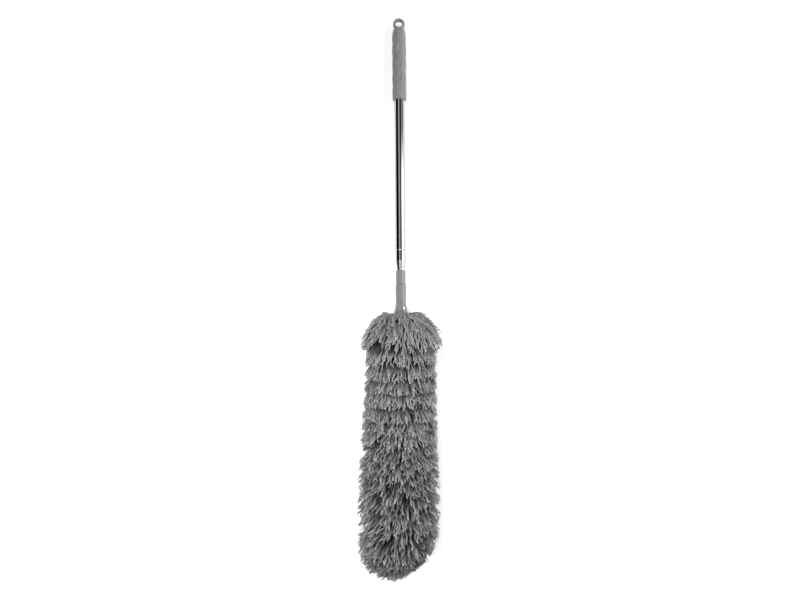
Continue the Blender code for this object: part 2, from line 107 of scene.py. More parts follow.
@dataclass(frozen=True)
class PoleAxis:
    """The line through the middle of the pole, from the end of the eye towards the head's tip."""

    eye_end: Vector
    down: Vector

    @classmethod
    def from_frame(cls) -> "PoleAxis":
        """Find the axis from the slides' direction, the innermost tube and the hanging cap.

        Returns:
            The axis.
        """
        down = Vector(frame["joints"][0]["axis"]).normalized()
        low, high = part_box("pole_tube_6")
        middle = (low + high) / 2
        verts = frame["nodes"]["hanging_cap"].data.vertices
        first = min((vert.co - middle).dot(down) for vert in verts)
        return cls(middle + down * first, down)

    @property
    def matrix(self) -> Matrix:
        """Lays a piece that was modelled upright, with its front to -Y, on the pole.

        Returns:
            The matrix.
        """
        front = (UP - self.down * UP.dot(self.down)).normalized()
        across = front.cross(self.down)
        turn = Matrix((across, -front, -self.down)).transposed()
        return Matrix.Translation(self.eye_end) @ turn.to_4x4()

    def extent(self, node: str) -> Extent:
        """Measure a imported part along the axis.

        Args:
            node: The part's name.

        Returns:
            Its depths and its largest radius.
        """
        upright = self.matrix.inverted()
        places = [upright @ vert.co for vert in frame["nodes"][node].data.vertices]
        depths = [-place.z for place in places]
        return Extent(min(depths), max(depths), max(place.xy.length for place in places))

    def height(self, depth: Array) -> Array:
        """Height of the axis above the floor at some depths."""
        return self.eye_end.z + depth * self.down.z


# Modelling steps that several pieces share


def choose(obj: Piece) -> None:
    """Select one object alone, and make it the active one.

    Args:
        obj: The object.
    """
    bpy.ops.object.select_all(action="DESELECT")
    obj.select_set(True)
    bpy.context.view_layer.objects.active = obj


@contextmanager
def editing(obj: Piece, part: str = "VERT") -> Iterator[None]:
    """Edit one object. What was selected in it before stays selected.

    Args:
        obj: The object.
        part: What is selected in it: VERT, EDGE or FACE.
    """
    choose(obj)
    bpy.ops.object.mode_set(mode="EDIT")
    bpy.ops.mesh.select_mode(type=part)
    yield
    bpy.ops.object.mode_set(mode="OBJECT")


def select_vertices(obj: Piece, wanted: Callable[[Vector], bool]) -> None:
    """Select the vertices at some places, ready for edit mode.

    Args:
        obj: The object.
        wanted: Whether a place is one of them.
    """
    for part in (*obj.data.edges, *obj.data.polygons):
        part.select = False
    for vert in obj.data.vertices:
        vert.select = wanted(vert.co)


def apply_modifiers(obj: Piece) -> None:
    """Apply all of an object's modifiers in order.

    Args:
        obj: The object.
    """
    choose(obj)
    for modifier in list(obj.modifiers):
        bpy.ops.object.modifier_apply(modifier=modifier.name)


def apply_place(obj: Piece) -> None:
    """Put an object's place, turn and scale into its mesh."""
    choose(obj)
    bpy.ops.object.transform_apply(location=True, rotation=True, scale=True)


def combine(obj: Piece, other: Piece, operation: str) -> None:
    """Cut or join one object with another, which is then removed.

    Args:
        obj: The piece that stays.
        other: The piece that is used up.
        operation: DIFFERENCE or UNION.
    """
    modifier = obj.modifiers.new(other.name, "BOOLEAN")
    modifier.operation = operation
    modifier.solver = "EXACT"
    modifier.object = other
    apply_modifiers(obj)
    bpy.data.objects.remove(other)


@dataclass(frozen=True)
class Corner:
    """A corner of a turned piece's outline, and how far from it its rounding starts."""

    depth: float
    radius: float
    rounding: float = 0.0


def rounded(corners: Sequence[Corner], closed: bool) -> list[Point]:
    """Work out an outline from its corners.

    Args:
        corners: The corners in order.
        closed: Whether the last corner is followed by the first.

    Returns:
        Points as (depth, radius), with a curve at each rounded corner.
    """
    places = [Vector((corner.depth, corner.radius)) for corner in corners]
    outline: list[Point] = []
    for index, (corner, here) in enumerate(zip(corners, places)):
        inner = closed or 0 < index < len(corners) - 1
        if corner.rounding <= 0 or not inner:
            outline.append(tuple(here))
            continue
        before = here + (places[index - 1] - here).normalized() * corner.rounding
        after = here + (places[(index + 1) % len(places)] - here).normalized() * corner.rounding
        for step in range(ROUND_STEPS + 1):
            share = step / ROUND_STEPS
            outline.append(tuple(before.lerp(here, share).lerp(here.lerp(after, share), share)))
    return outline


def turned(name: str, outline: Sequence[Point], closed: bool, sides: int = SIDES) -> Piece:
    """Model a turned piece: a circle, extruded and scaled ring by ring along its outline.

    Args:
        name: The piece's name.
        outline: Points as (depth, radius), down the outer side.
        closed: Whether the last ring meets the first, as on a sleeve. Otherwise both are filled.
        sides: How many sides each ring has.

    Returns:
        The upright piece.
    """
    bpy.ops.object.select_all(action="DESELECT")
    depth, radius = outline[0]
    bpy.ops.mesh.primitive_circle_add(vertices=sides, radius=radius, location=(0, 0, -depth))
    piece = bpy.context.object
    piece.name = name
    piece.data.name = name
    rings = [*outline[1:], outline[0]] if closed else outline[1:]
    with editing(piece):
        for next_depth, next_radius in rings:
            step = (0, 0, depth - next_depth)
            scale = next_radius / radius
            bpy.ops.mesh.extrude_region_move(TRANSFORM_OT_translate={"value": step})
            bpy.ops.transform.resize(value=(scale, scale, 1))
            depth, radius = next_depth, next_radius
        bpy.ops.mesh.select_all(action="SELECT")
        if closed:
            bpy.ops.mesh.remove_doubles(threshold=WELD)
        else:
            bpy.ops.mesh.fill_holes(sides=0)
        bpy.ops.mesh.normals_make_consistent(inside=False)
    apply_place(piece)
    return piece


def read_curve(values: Array, curve: Points) -> Array:
    """Read a curve, given as places and the value at each, at some values."""
    return np.interp(values, *zip(*curve))


# Shader nodes


@dataclass
class NodeKit:
    """A node tree, with short ways to add to it. A value is a number, a colour or a socket."""

    tree: NodeTree

    @classmethod
    def emptied(cls, owner: Material | bpy.types.World) -> "NodeKit":
        """Start the nodes of a material or world afresh.

        Args:
            owner: The material or world.
        """
        owner.use_nodes = True
        owner.node_tree.nodes.clear()
        return cls(owner.node_tree)

    def join(self, target: Socket, value: object) -> None:
        """Link a socket to an input, or set the input's own value.

        Args:
            target: The input.
            value: The socket or value.
        """
        if isinstance(value, Socket):
            self.tree.links.new(value, target)
        else:
            target.default_value = value

    def add(self, kind: str, settings: dict | None = None, **inputs: object) -> bpy.types.Node:
        """Add a node, set its properties and join its inputs by name.

        Args:
            kind: The node's type without its ShaderNode prefix.
            settings: Properties of the node itself.
            **inputs: Values of its inputs, spaces in their names as _.

        Returns:
            The new node.
        """
        node = self.tree.nodes.new("ShaderNode" + kind)
        for key, value in (settings or {}).items():
            setattr(node, key, value)
        for key, value in inputs.items():
            self.join(node.inputs[key.replace("_", " ")], value)
        return node

    def result(self, kind: str, *values: object, **settings: object) -> Socket:
        """Add a node and join its first inputs in order.

        Args:
            kind: The node's type without its ShaderNode prefix.
            *values: Values of its inputs.
            **settings: Properties of the node itself.

        Returns:
            Its first output.
        """
        node = self.add(kind, settings)
        for target, value in zip(node.inputs, values):
            self.join(target, value)
        return node.outputs[0]

    def maths(self, operation: str, *values: object) -> Socket:
        """Work out a sum of one or two values."""
        return self.result("Math", *values, operation=operation)

    def times(self, colour: object, factor: object) -> Socket:
        """Multiply a colour."""
        return self.result("VectorMath", colour, factor, operation="MULTIPLY")

    def plus(self, colour: object, other: object) -> Socket:
        """Add two colours."""
        return self.result("VectorMath", colour, other, operation="ADD")

    def rescaled(self, value: object, limits: Point, to: Sequence[object] = (0.0, 1.0)) -> Socket:
        """Take a value from between two limits to between two others, and no further."""
        ends = {"From_Min": limits[0], "From_Max": limits[1], "To_Min": to[0], "To_Max": to[1]}
        return self.add("MapRange", Value=value, **ends).outputs[0]

    def noise(self, place: object, scale: object, detail: float, rough: float = 0.5) -> Socket:
        """Make a noise round its middle value."""
        node = self.add("TexNoise", Vector=place, Scale=scale, Detail=detail, Roughness=rough)
        return node.outputs["Fac"]

    def relief(self, height: object, depth: object, strength: float) -> Socket:
        """Make a normal from a height."""
        return self.add("Bump", Strength=strength, Distance=depth, Height=height).outputs["Normal"]

    @property
    def place(self) -> Socket:
        """Object coordinates."""
        return self.add("TexCoord").outputs["Object"]


class Pattern(NodeKit):
    """A shader node group that several finishes share, and that shades their colour."""

    def __init__(self, name: str, numbers: Sequence[str], vectors: Sequence[str] = ()) -> None:
        """Start the group.

        Args:
            name: Its name.
            numbers: Names of the numbers that go in.
            vectors: Names of the vectors that go in.
        """
        super().__init__(bpy.data.node_groups.new(name, "ShaderNodeTree"))
        self.given = self.tree.nodes.new("NodeGroupInput").outputs
        for kind, names in (("Color", ["Colour"]), ("Vector", vectors), ("Float", numbers)):
            for socket in names:
                self.add_socket(socket, kind, "INPUT")

    def add_socket(self, name: str, kind: str, side: str) -> None:
        """Add a socket: kind is Color, Vector or Float, and side is INPUT or OUTPUT."""
        self.tree.interface.new_socket(name=name, in_out=side, socket_type="NodeSocket" + kind)

    def finish(self, shade: Socket, **results: Socket) -> NodeTree:
        """Put out the shaded colour and what else the pattern gives.

        Args:
            shade: How light the colour is.
            **results: Its Marks, Height or Normal.

        Returns:
            The group.
        """
        kinds = {"Colour": "Color", "Marks": "Float", "Height": "Float", "Normal": "Vector"}
        results["Colour"] = self.times(self.given["Colour"], shade)
        out = self.tree.nodes.new("NodeGroupOutput")
        for name, value in results.items():
            self.add_socket(name, kinds[name], "OUTPUT")
            self.join(out.inputs[name], value)
        return self.tree


@dataclass(frozen=True)
class MouldedGrain:
    """Fine spark grain of moulded plastic, with slight cloudiness and handling marks."""

    cloud_scale: float = 70.0
    cloud_tones: Point = (0.94, 1.05)
    mark_scale: float = 260.0
    mark_roughness: float = 0.6
    strength: float = 0.5

    def group(self) -> NodeTree:
        """Make the node group.

        Returns:
            The group.
        """
        kit = Pattern("moulded_grain", ["Grain Scale", "Grain Depth"])
        place = kit.place
        cloud = kit.noise(place, self.cloud_scale, 3.0)
        marks = kit.noise(place, self.mark_scale, 5.0, self.mark_roughness)
        grain = kit.noise(place, kit.given["Grain Scale"], 2.0)
        normal = kit.relief(grain, kit.given["Grain Depth"], self.strength)
        return kit.finish(kit.rescaled(cloud, NOISE_RANGE, self.cloud_tones), Marks=marks, Normal=normal)


@dataclass(frozen=True)
class DrawnMetal:
    """Faint lines drawn along a polished tube, with soft smudges."""

    line_scale: float = 2600.0
    line_stretch: Colour = (1.0, 0.012, 1.0)
    smudge_scale: float = 55.0
    smudge_range: Point = (0.35, 0.7)
    smudge_tones: Point = (1.0, 0.94)
    strength: float = 0.3

    def group(self) -> NodeTree:
        """Make the node group.

        Returns:
            The group.
        """
        kit = Pattern("drawn_metal", ["Line Depth"])
        place = kit.place
        along = kit.add("Mapping", Vector=place, Scale=self.line_stretch).outputs[0]
        lines = kit.noise(along, self.line_scale, 2.0)
        smudge = kit.noise(place, self.smudge_scale, 4.0)
        normal = kit.relief(lines, kit.given["Line Depth"], self.strength)
        shade = kit.rescaled(smudge, self.smudge_range, self.smudge_tones)
        return kit.finish(shade, Marks=smudge, Normal=normal)


@dataclass(frozen=True)
class TwistedYarn:
    """Plies that wind round a strand, with loose fibres between them; grooves get painted shade, crests
    a painted highlight.

    The coordinate runs once round the strand in X and along it, in metres, in Y.
    """

    fibre_scale: float = 2400.0
    fibre_roughness: float = 0.65
    fibre_height: float = 0.6
    heights: Point = (0.2, 1.1)
    crest_painted_light: float = 1.06

    def group(self) -> NodeTree:
        """Make the node group.

        Returns:
            The group.
        """
        kit = Pattern("twisted_yarn", ["Plies", "Twist Pitch", "Groove Shade"], ["Coordinate"])
        given = kit.given
        parts = kit.add("SeparateXYZ", Vector=given["Coordinate"]).outputs
        round_it = kit.maths("MULTIPLY", parts["X"], given["Plies"])
        turns = kit.maths("DIVIDE", parts["Y"], given["Twist Pitch"])
        wound = kit.maths("MULTIPLY", kit.maths("ADD", round_it, turns), math.pi)
        ply = kit.maths("ABSOLUTE", kit.maths("SINE", wound))
        fibre = kit.noise(kit.place, self.fibre_scale, 3.0, self.fibre_roughness)
        height = kit.maths("ADD", ply, kit.maths("MULTIPLY", fibre, self.fibre_height))
        # Painted shade in the grooves and a painted highlight on the crests, by the height of the plies.
        shade = kit.rescaled(height, self.heights, (given["Groove Shade"], self.crest_painted_light))
        return kit.finish(shade, Height=height)


@dataclass(frozen=True)
class WovenBacking:
    """Plain weave of a backing cloth, over and under in small steps, with painted shade where the
    threads run low.
    """

    tones: Point = (0.6, 1.1)

    def group(self) -> NodeTree:
        """Make the node group.

        Returns:
            The group.
        """
        kit = Pattern("woven_backing", ["Thread Scale"])
        place = kit.place
        waves = []
        for direction in ("Y", "DIAGONAL"):
            settings = {"bands_direction": direction}
            wave = kit.add("TexWave", settings, Vector=place, Scale=kit.given["Thread Scale"])
            waves.append(wave.outputs["Fac"])
        height = kit.maths("MULTIPLY", *waves)
        # Painted shade: the colour is darker where the weave is low.
        return kit.finish(kit.rescaled(height, (0.0, 1.0), self.tones), Height=height)


# Finishes


class Surface(NodeKit):
    """A material in the making, with its Principled shader."""

    def __init__(self, name: str) -> None:
        """Start the material.

        Args:
            name: Its name.
        """
        self.material = bpy.data.materials.new(name)
        self.material.use_nodes = True
        super().__init__(self.material.node_tree)
        self.shader = self.tree.nodes["Principled BSDF"]

    def patterned(self, group: NodeTree, **inputs: object) -> bpy.types.bpy_prop_collection:
        """Place a pattern, and take the surface's colour from it.

        Args:
            group: The pattern.
            **inputs: Values of its inputs, spaces in their names as _.

        Returns:
            Its outputs.
        """
        made = self.add("Group", {"node_tree": group}, **inputs).outputs
        self.join(self.shader.inputs["Base Color"], made["Colour"])
        return made

    def finished(self, **inputs: object) -> Material:
        """Join the shader's other inputs.

        Args:
            **inputs: Their values, spaces in their names as _.

        Returns:
            The material.
        """
        for key, value in inputs.items():
            self.join(self.shader.inputs[key.replace("_", " ")], value)
        return self.material


@dataclass(frozen=True)
class MouldedPlastic:
    """A plastic with a fine moulded grain."""

    name: str
    colour: Colour
    roughness: Point
    grain_scale: float
    grain_depth: float
    specular: float = 0.5

    def material(self, grain: NodeTree) -> Material:
        """Make the material.

        Args:
            grain: The moulded grain.

        Returns:
            The material.
        """
        surface = Surface(self.name)
        colour = (*self.colour, 1.0)
        made = surface.patterned(
            grain, Colour=colour, Grain_Scale=self.grain_scale, Grain_Depth=self.grain_depth
        )
        return surface.finished(
            Roughness=surface.rescaled(made["Marks"], NOISE_RANGE, self.roughness),
            Normal=made["Normal"],
            Specular_IOR_Level=self.specular,
        )


@dataclass(frozen=True)
class PolishedSteel:
    """Thin steel tube, polished bright."""

    name: str = "polished_steel_tube"
    colour: Colour = (0.73, 0.735, 0.74)
    roughness: Point = (0.05, 0.10)
    line_depth: float = 0.000004

    def material(self, drawn: NodeTree) -> Material:
        """Make the material.

        Args:
            drawn: The drawn lines.

        Returns:
            The material.
        """
        surface = Surface(self.name)
        made = surface.patterned(drawn, Colour=(*self.colour, 1.0), Line_Depth=self.line_depth)
        roughness = surface.rescaled(made["Marks"], NOISE_RANGE, self.roughness)
        return surface.finished(Metallic=1.0, Roughness=roughness, Normal=made["Normal"])


@dataclass(frozen=True)
class MicrofibreYarn:
    """Soft twisted yarn whose tone changes at random from strand to strand, with painted shade towards
    its root and under each row's ledge, and a painted highlight at its tip.
    """

    name: str = "microfibre_yarn"
    colour: Colour = (0.394, 0.382, 0.398)
    plies: float = 2.0
    twist_pitch: float = 0.0052
    # How dark the painted shade in the plies' grooves is.
    groove_shade: float = 0.42
    relief_depth: float = 0.00035
    relief: float = 0.8
    roughness: float = 0.85
    sheen: float = 0.08
    sheen_roughness: float = 0.45
    specular: float = 0.25

    def material(self, twist: NodeTree) -> Material:
        """Make the material. It reads the strands' own coordinate, and their tone together with its
        painted shade and painted highlight.

        Args:
            twist: The twisted plies.

        Returns:
            The material.
        """
        surface = Surface(self.name)
        # This attribute carries the strands' random tone together with their painted shade and painted
        # highlight.
        tone = surface.add("Attribute", {"attribute_name": "tone"}).outputs["Fac"]
        made = surface.patterned(
            twist,
            Coordinate=surface.add("UVMap", {"uv_map": "yarn"}).outputs["UV"],
            Colour=surface.times(self.colour, tone),
            Plies=self.plies,
            Twist_Pitch=self.twist_pitch,
            Groove_Shade=self.groove_shade,
        )
        return surface.finished(
            Normal=surface.relief(made["Height"], self.relief_depth, self.relief),
            Roughness=self.roughness,
            Sheen_Weight=self.sheen,
            Sheen_Roughness=self.sheen_roughness,
            Specular_IOR_Level=self.specular,
        )


@dataclass(frozen=True)
class WovenCloth:
    """The plain cloth that the strands are sewn to."""

    name: str = "backing_cloth"
    colour: Colour = (0.11, 0.11, 0.115)
    thread_scale: float = 900.0
    relief_depth: float = 0.0002
    relief: float = 0.7
    roughness: float = 0.9
    sheen: float = 0.2

    def material(self, weave: NodeTree) -> Material:
        """Make the material.

        Args:
            weave: The plain weave.

        Returns:
            The material.
        """
        surface = Surface(self.name)
        made = surface.patterned(weave, Colour=(*self.colour, 1.0), Thread_Scale=self.thread_scale)
        normal = surface.relief(made["Height"], self.relief_depth, self.relief)
        return surface.finished(Normal=normal, Roughness=self.roughness, Sheen_Weight=self.sheen)


def make_finishes() -> dict[Slot, Material]:
    """Make every finish of the duster, one for each material slot.

    Returns:
        The finishes by slot.
    """
    plastics = {
        Slot.GREY_PLASTIC: MouldedPlastic(
            name="satin_grey_plastic",
            colour=(0.245, 0.251, 0.269),
            roughness=(0.09, 0.13),
            grain_scale=2600.0,
            grain_depth=0.00001,
            specular=1.0,
        ),
        Slot.SOFT_GRIP: MouldedPlastic(
            name="soft_touch_grip",
            colour=(0.240, 0.247, 0.267),
            roughness=(0.42, 0.52),
            grain_scale=1900.0,
            grain_depth=0.00005,
        ),
        Slot.BUSH_PLASTIC: MouldedPlastic(
            name="natural_bush_plastic",
            colour=(0.72, 0.72, 0.69),
            roughness=(0.34, 0.44),
            grain_scale=2200.0,
            grain_depth=0.00002,
        ),
        Slot.CORE_PLASTIC: MouldedPlastic(
            name="dark_core_plastic",
            colour=(0.08, 0.08, 0.085),
            roughness=(0.42, 0.52),
            grain_scale=2000.0,
            grain_depth=0.00004,
        ),
    }
    grain = MouldedGrain().group()
    finishes = {slot: plastic.material(grain) for slot, plastic in plastics.items()}
    finishes[Slot.POLISHED_STEEL] = PolishedSteel().material(DrawnMetal().group())
    finishes[Slot.MICROFIBRE] = MicrofibreYarn().material(TwistedYarn().group())
    finishes[Slot.CUFF_FABRIC] = WovenCloth().material(WovenBacking().group())
    return finishes


# Sub-assemblies


@dataclass
class SubAssembly:
    """Pieces that move with one body of the duster."""

    axis: PoleAxis
    finishes: dict[Slot, Material]
    body: str

    def dress(self, piece: Piece, slot: Slot, node: str = "") -> None:
        """Give a finished piece its material and its place in the duster.

        Args:
            piece: The piece, already in the frame's coordinates.
            slot: The slot that its finish comes from.
            node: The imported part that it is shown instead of, if any.
        """
        piece.data.materials.clear()
        piece.data.materials.append(self.finishes[slot])
        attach(piece, self.body)
        if node:
            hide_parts(node)
        triangles = sum(len(face.vertices) - 2 for face in piece.data.polygons)
        log.info("%s rides on %s, %d triangles", piece.name, self.body, triangles)

    def lay_down(self, piece: Piece, slot: Slot, node: str = "") -> None:
        """Lay an upright piece on the pole's axis, smooth its round sides and dress it.

        Args:
            piece: The piece.
            slot: The slot that its finish comes from.
            node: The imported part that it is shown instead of, if any.
        """
        piece.matrix_world = self.axis.matrix
        apply_place(piece)
        bpy.ops.object.shade_smooth_by_angle(angle=SMOOTH_ANGLE)
        self.dress(piece, slot, node)

    def keep_node(self, node: str, slot: Slot) -> None:
        """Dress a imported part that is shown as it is.

        Args:
            node: The part's name.
            slot: The slot that its finish comes from.
        """
        mesh = frame["nodes"][node].data
        mesh.materials.clear()
        mesh.materials.append(self.finishes[slot])


@dataclass
class Handle(SubAssembly):
    """The hanging cap and the waved grip on the outer tube."""

    eye_radius: float = 0.0091
    eye_hole_radius: float = 0.0054
    eye_top_wall: float = 0.0031
    eye_thickness: float = 0.007
    eye_edge: float = 0.0014
    eye_edge_steps: int = 5
    eye_edge_angle: float = math.radians(60)
    cap_length: float = 0.0279
    cap_radius: float = 0.0102
    cap_shoulder_radius: float = 0.0040
    cap_dome: float = 0.0131
    cap_dome_steps: int = 12
    cap_straight: float = 0.004
    plug_radius: float = 0.0074
    plug_length: float = 0.0155
    cap_voxel: float = 0.0003
    cap_softening: float = 0.5
    cap_softening_rounds: int = 6
    wave: float = 0.00025
    wave_pitch: float = 0.0221
    first_crest: float = 0.0214
    grip_radius: float = 0.01045
    grip_rings: int = 180
    grip_sides: int = 144
    rim_round: float = 0.0003
    dimples: int = 3
    dimple_after_crest: float = 0.0016
    dimple_height: float = 0.0050
    dimple_reach: float = 0.0034
    dimple_depth: float = 0.0012
    dimple_line_width: float = 0.00002
    front_share: float = 0.9

    def build(self) -> None:
        """Model and dress the cap and the grip."""
        self.lay_down(self.hanging_cap(), Slot.GREY_PLASTIC, "hanging_cap")
        self.lay_down(self.grip_sleeve(), Slot.SOFT_GRIP, "grip_sleeve")

    def front_to_back(self, name: str, radius: float, length: float, depth: float) -> Piece:
        """Add a cylinder that runs from the front to the back of the upright cap.

        Args:
            name: Its name.
            radius: Its radius.
            length: Its length.
            depth: The depth of its middle line.

        Returns:
            The cylinder.
        """
        bpy.ops.object.select_all(action="DESELECT")
        bpy.ops.mesh.primitive_cylinder_add(
            vertices=SIDES,
            radius=radius,
            depth=length,
            location=(0, 0, -depth),
            rotation=(math.pi / 2, 0, 0),
        )
        cylinder = bpy.context.object
        cylinder.name = name
        apply_place(cylinder)
        return cylinder

    def dome(self) -> Piece:
        """Model the dome under the eye and the plug inside the tube.

        Returns:
            The upright dome.
        """
        top = self.cap_length - self.cap_dome
        run = self.cap_dome - self.cap_straight
        rise = self.cap_radius - self.cap_shoulder_radius
        outline = []
        for step in range(self.cap_dome_steps + 1):
            turn = math.pi / 2 * step / self.cap_dome_steps
            depth = top + run * (1 - math.cos(turn))
            outline.append((depth, self.cap_shoulder_radius + rise * math.sin(turn)))
        outline += [
            (self.cap_length, self.cap_radius),
            (self.cap_length, self.plug_radius),
            (self.cap_length + self.plug_length, self.plug_radius),
        ]
        return turned("hanging_cap_moulding", outline, closed=False)

    def hanging_cap(self) -> Piece:
        """Join the eye to the dome, cut its hole, and soften all edges as moulded ones are.

        Returns:
            The upright cap.
        """
        cap = self.dome()
        plate = self.front_to_back("eye_plate", self.eye_radius, self.eye_thickness, self.eye_radius)
        with editing(plate, "EDGE"):
            bpy.ops.mesh.select_all(action="DESELECT")
            bpy.ops.mesh.edges_select_sharp(sharpness=self.eye_edge_angle)
            bpy.ops.mesh.bevel(offset=self.eye_edge, segments=self.eye_edge_steps, affect="EDGES")
        depth = self.eye_top_wall + self.eye_hole_radius
        hole = self.front_to_back("eye_hole", self.eye_hole_radius, 3 * self.eye_thickness, depth)
        combine(cap, plate, "UNION")
        combine(cap, hole, "DIFFERENCE")
        remesh = cap.modifiers.new("Moulding", "REMESH")
        remesh.mode = "VOXEL"
        remesh.voxel_size = self.cap_voxel
        soften = cap.modifiers.new("Soft edges", "SMOOTH")
        soften.factor = self.cap_softening
        soften.iterations = self.cap_softening_rounds
        apply_modifiers(cap)
        return cap

    def grip_surface(self, depth: float) -> float:
        """Radius of the grip at a depth below its own top."""
        turn = math.tau * (depth - self.first_crest) / self.wave_pitch
        return self.grip_radius + self.wave * math.cos(turn)

    def grip_sleeve(self) -> Piece:
        """Turn the waved sleeve and press the thumb dimples into its front.

        Returns:
            The upright grip.
        """
        packed = self.axis.extent("grip_sleeve")
        bore = self.axis.extent("pole_tube_1").radius
        length = packed.end - packed.start
        outline = [(packed.start + self.rim_round, bore), (packed.start, bore + self.rim_round)]
        for step in range(self.grip_rings + 1):
            depth = self.rim_round + (length - 2 * self.rim_round) * step / self.grip_rings
            edge = min(depth, length - depth) - self.rim_round
            drawn = self.grip_surface(depth)
            if edge < self.rim_round:
                share = 1 - edge / self.rim_round
                drawn -= self.rim_round * (1 - math.sqrt(max(0.0, 1 - share**2)))
            outline.append((packed.start + depth, drawn))
        outline += [(packed.end, bore + self.rim_round), (packed.end, bore)]
        grip = turned("grip_sleeve_waved", outline, closed=True, sides=self.grip_sides)
        for number in range(self.dimples):
            crest = packed.start + self.first_crest + number * self.wave_pitch
            self.press_dimple(grip, crest + self.dimple_after_crest)
        return grip

    def press_dimple(self, grip: Piece, depth: float) -> None:
        """Push a short upright line of points in, with a soft fall-off round it.

        Args:
            grip: The upright grip.
            depth: The depth of the dimple's middle.
        """
        half_line = self.dimple_height / 2
        off_line = self.dimple_line_width
        on_front = -self.front_share * self.grip_radius

        def in_line(place: Vector) -> bool:
            """Whether a point is on the dimple's middle line."""
            return abs(place.z + depth) < half_line and abs(place.x) < off_line and place.y < on_front

        select_vertices(grip, in_line)
        with editing(grip):
            bpy.ops.transform.translate(
                value=(0, self.dimple_depth, 0),
                use_proportional_edit=True,
                use_proportional_connected=True,
                proportional_edit_falloff="SPHERE",
                proportional_size=self.dimple_reach,
            )


@dataclass
class Tube(SubAssembly):
    """One steel tube of the telescopic pole."""

    number: int = 1
    wall: float = 0.00025
    lip_length: float = 0.0012
    lip_clearance: float = 0.00005
    crimp_from_mouth: float = 0.0165
    crimp_width: float = 0.0021
    crimp_depth: float = 0.0004
    crimp_round: float = 0.000175
    mouth_length: float = 0.0007
    mouth_drop: float = 0.0003

    def build(self) -> None:
        """Turn and dress the tube, and dress the guide bush inside its rear end."""
        node = f"pole_tube_{self.number}"
        outline = rounded(self.corners(node), closed=True)
        self.lay_down(turned(f"steel_{node}", outline, closed=True), Slot.POLISHED_STEEL, node)
        if self.number > 1:
            self.keep_node(f"guide_bush_{self.number}", Slot.BUSH_PLASTIC)

    def corners(self, node: str) -> list[Corner]:
        """Find the corners of the tube's wall, with its mouth rolled in to hold the next tube.

        Args:
            node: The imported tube's name.

        Returns:
            The corners, down the outer side and back up the bore.
        """
        packed = self.axis.extent(node)
        outer = packed.radius
        bore = outer - self.wall
        corners = [Corner(packed.start, outer)]
        if self.number == 1:
            crimp = packed.end - self.crimp_from_mouth
            edge = self.crimp_width / 2
            for along, drop in ((-edge, 0.0), (0.0, self.crimp_depth), (edge, 0.0)):
                corners.append(Corner(crimp + along, outer - drop, self.crimp_round))
        corners.append(Corner(packed.end - self.mouth_length, outer))
        corners.append(Corner(packed.end, outer - self.mouth_drop))
        if self.number < TUBES:
            lip = self.axis.extent(f"pole_tube_{self.number + 1}").radius + self.lip_clearance
            corners.append(Corner(packed.end, lip, self.lip_clearance))
            corners.append(Corner(packed.end - self.lip_length, lip))
            corners.append(Corner(packed.end - self.lip_length, bore))
        else:
            corners.append(Corner(packed.end, bore))
        return [*corners, Corner(packed.start, bore)]


@dataclass
class TipCollar(SubAssembly):
    """The rimmed collar on the pole's front end, with the spigot for the head."""

    plug_radius: float = 0.0056
    rim_radius: float = 0.0076
    rim_length: float = 0.0026
    collar_radius: float = 0.0073
    collar_length: float = 0.0198
    spigot_radius: float = 0.0052
    spigot_length: float = 0.0215
    edge: float = 0.0005

    def build(self) -> None:
        """Turn and dress the collar."""
        packed = self.axis.extent("tip_collar")
        tip = packed.end
        end = tip - self.spigot_length
        rim = end - self.collar_length
        corners = [
            Corner(packed.start, self.plug_radius),
            Corner(rim, self.plug_radius),
            Corner(rim, self.rim_radius, self.edge),
            Corner(rim + self.rim_length, self.rim_radius, self.edge / 2),
            Corner(rim + self.rim_length, self.collar_radius, self.edge / 4),
            Corner(end, self.collar_radius, self.edge),
            Corner(end, self.spigot_radius),
            Corner(tip, self.spigot_radius, self.edge),
            Corner(tip, self.spigot_radius / 2),
        ]
        collar = turned("tip_collar_rimmed", rounded(corners, closed=False), closed=False)
        self.lay_down(collar, Slot.GREY_PLASTIC, "tip_collar")


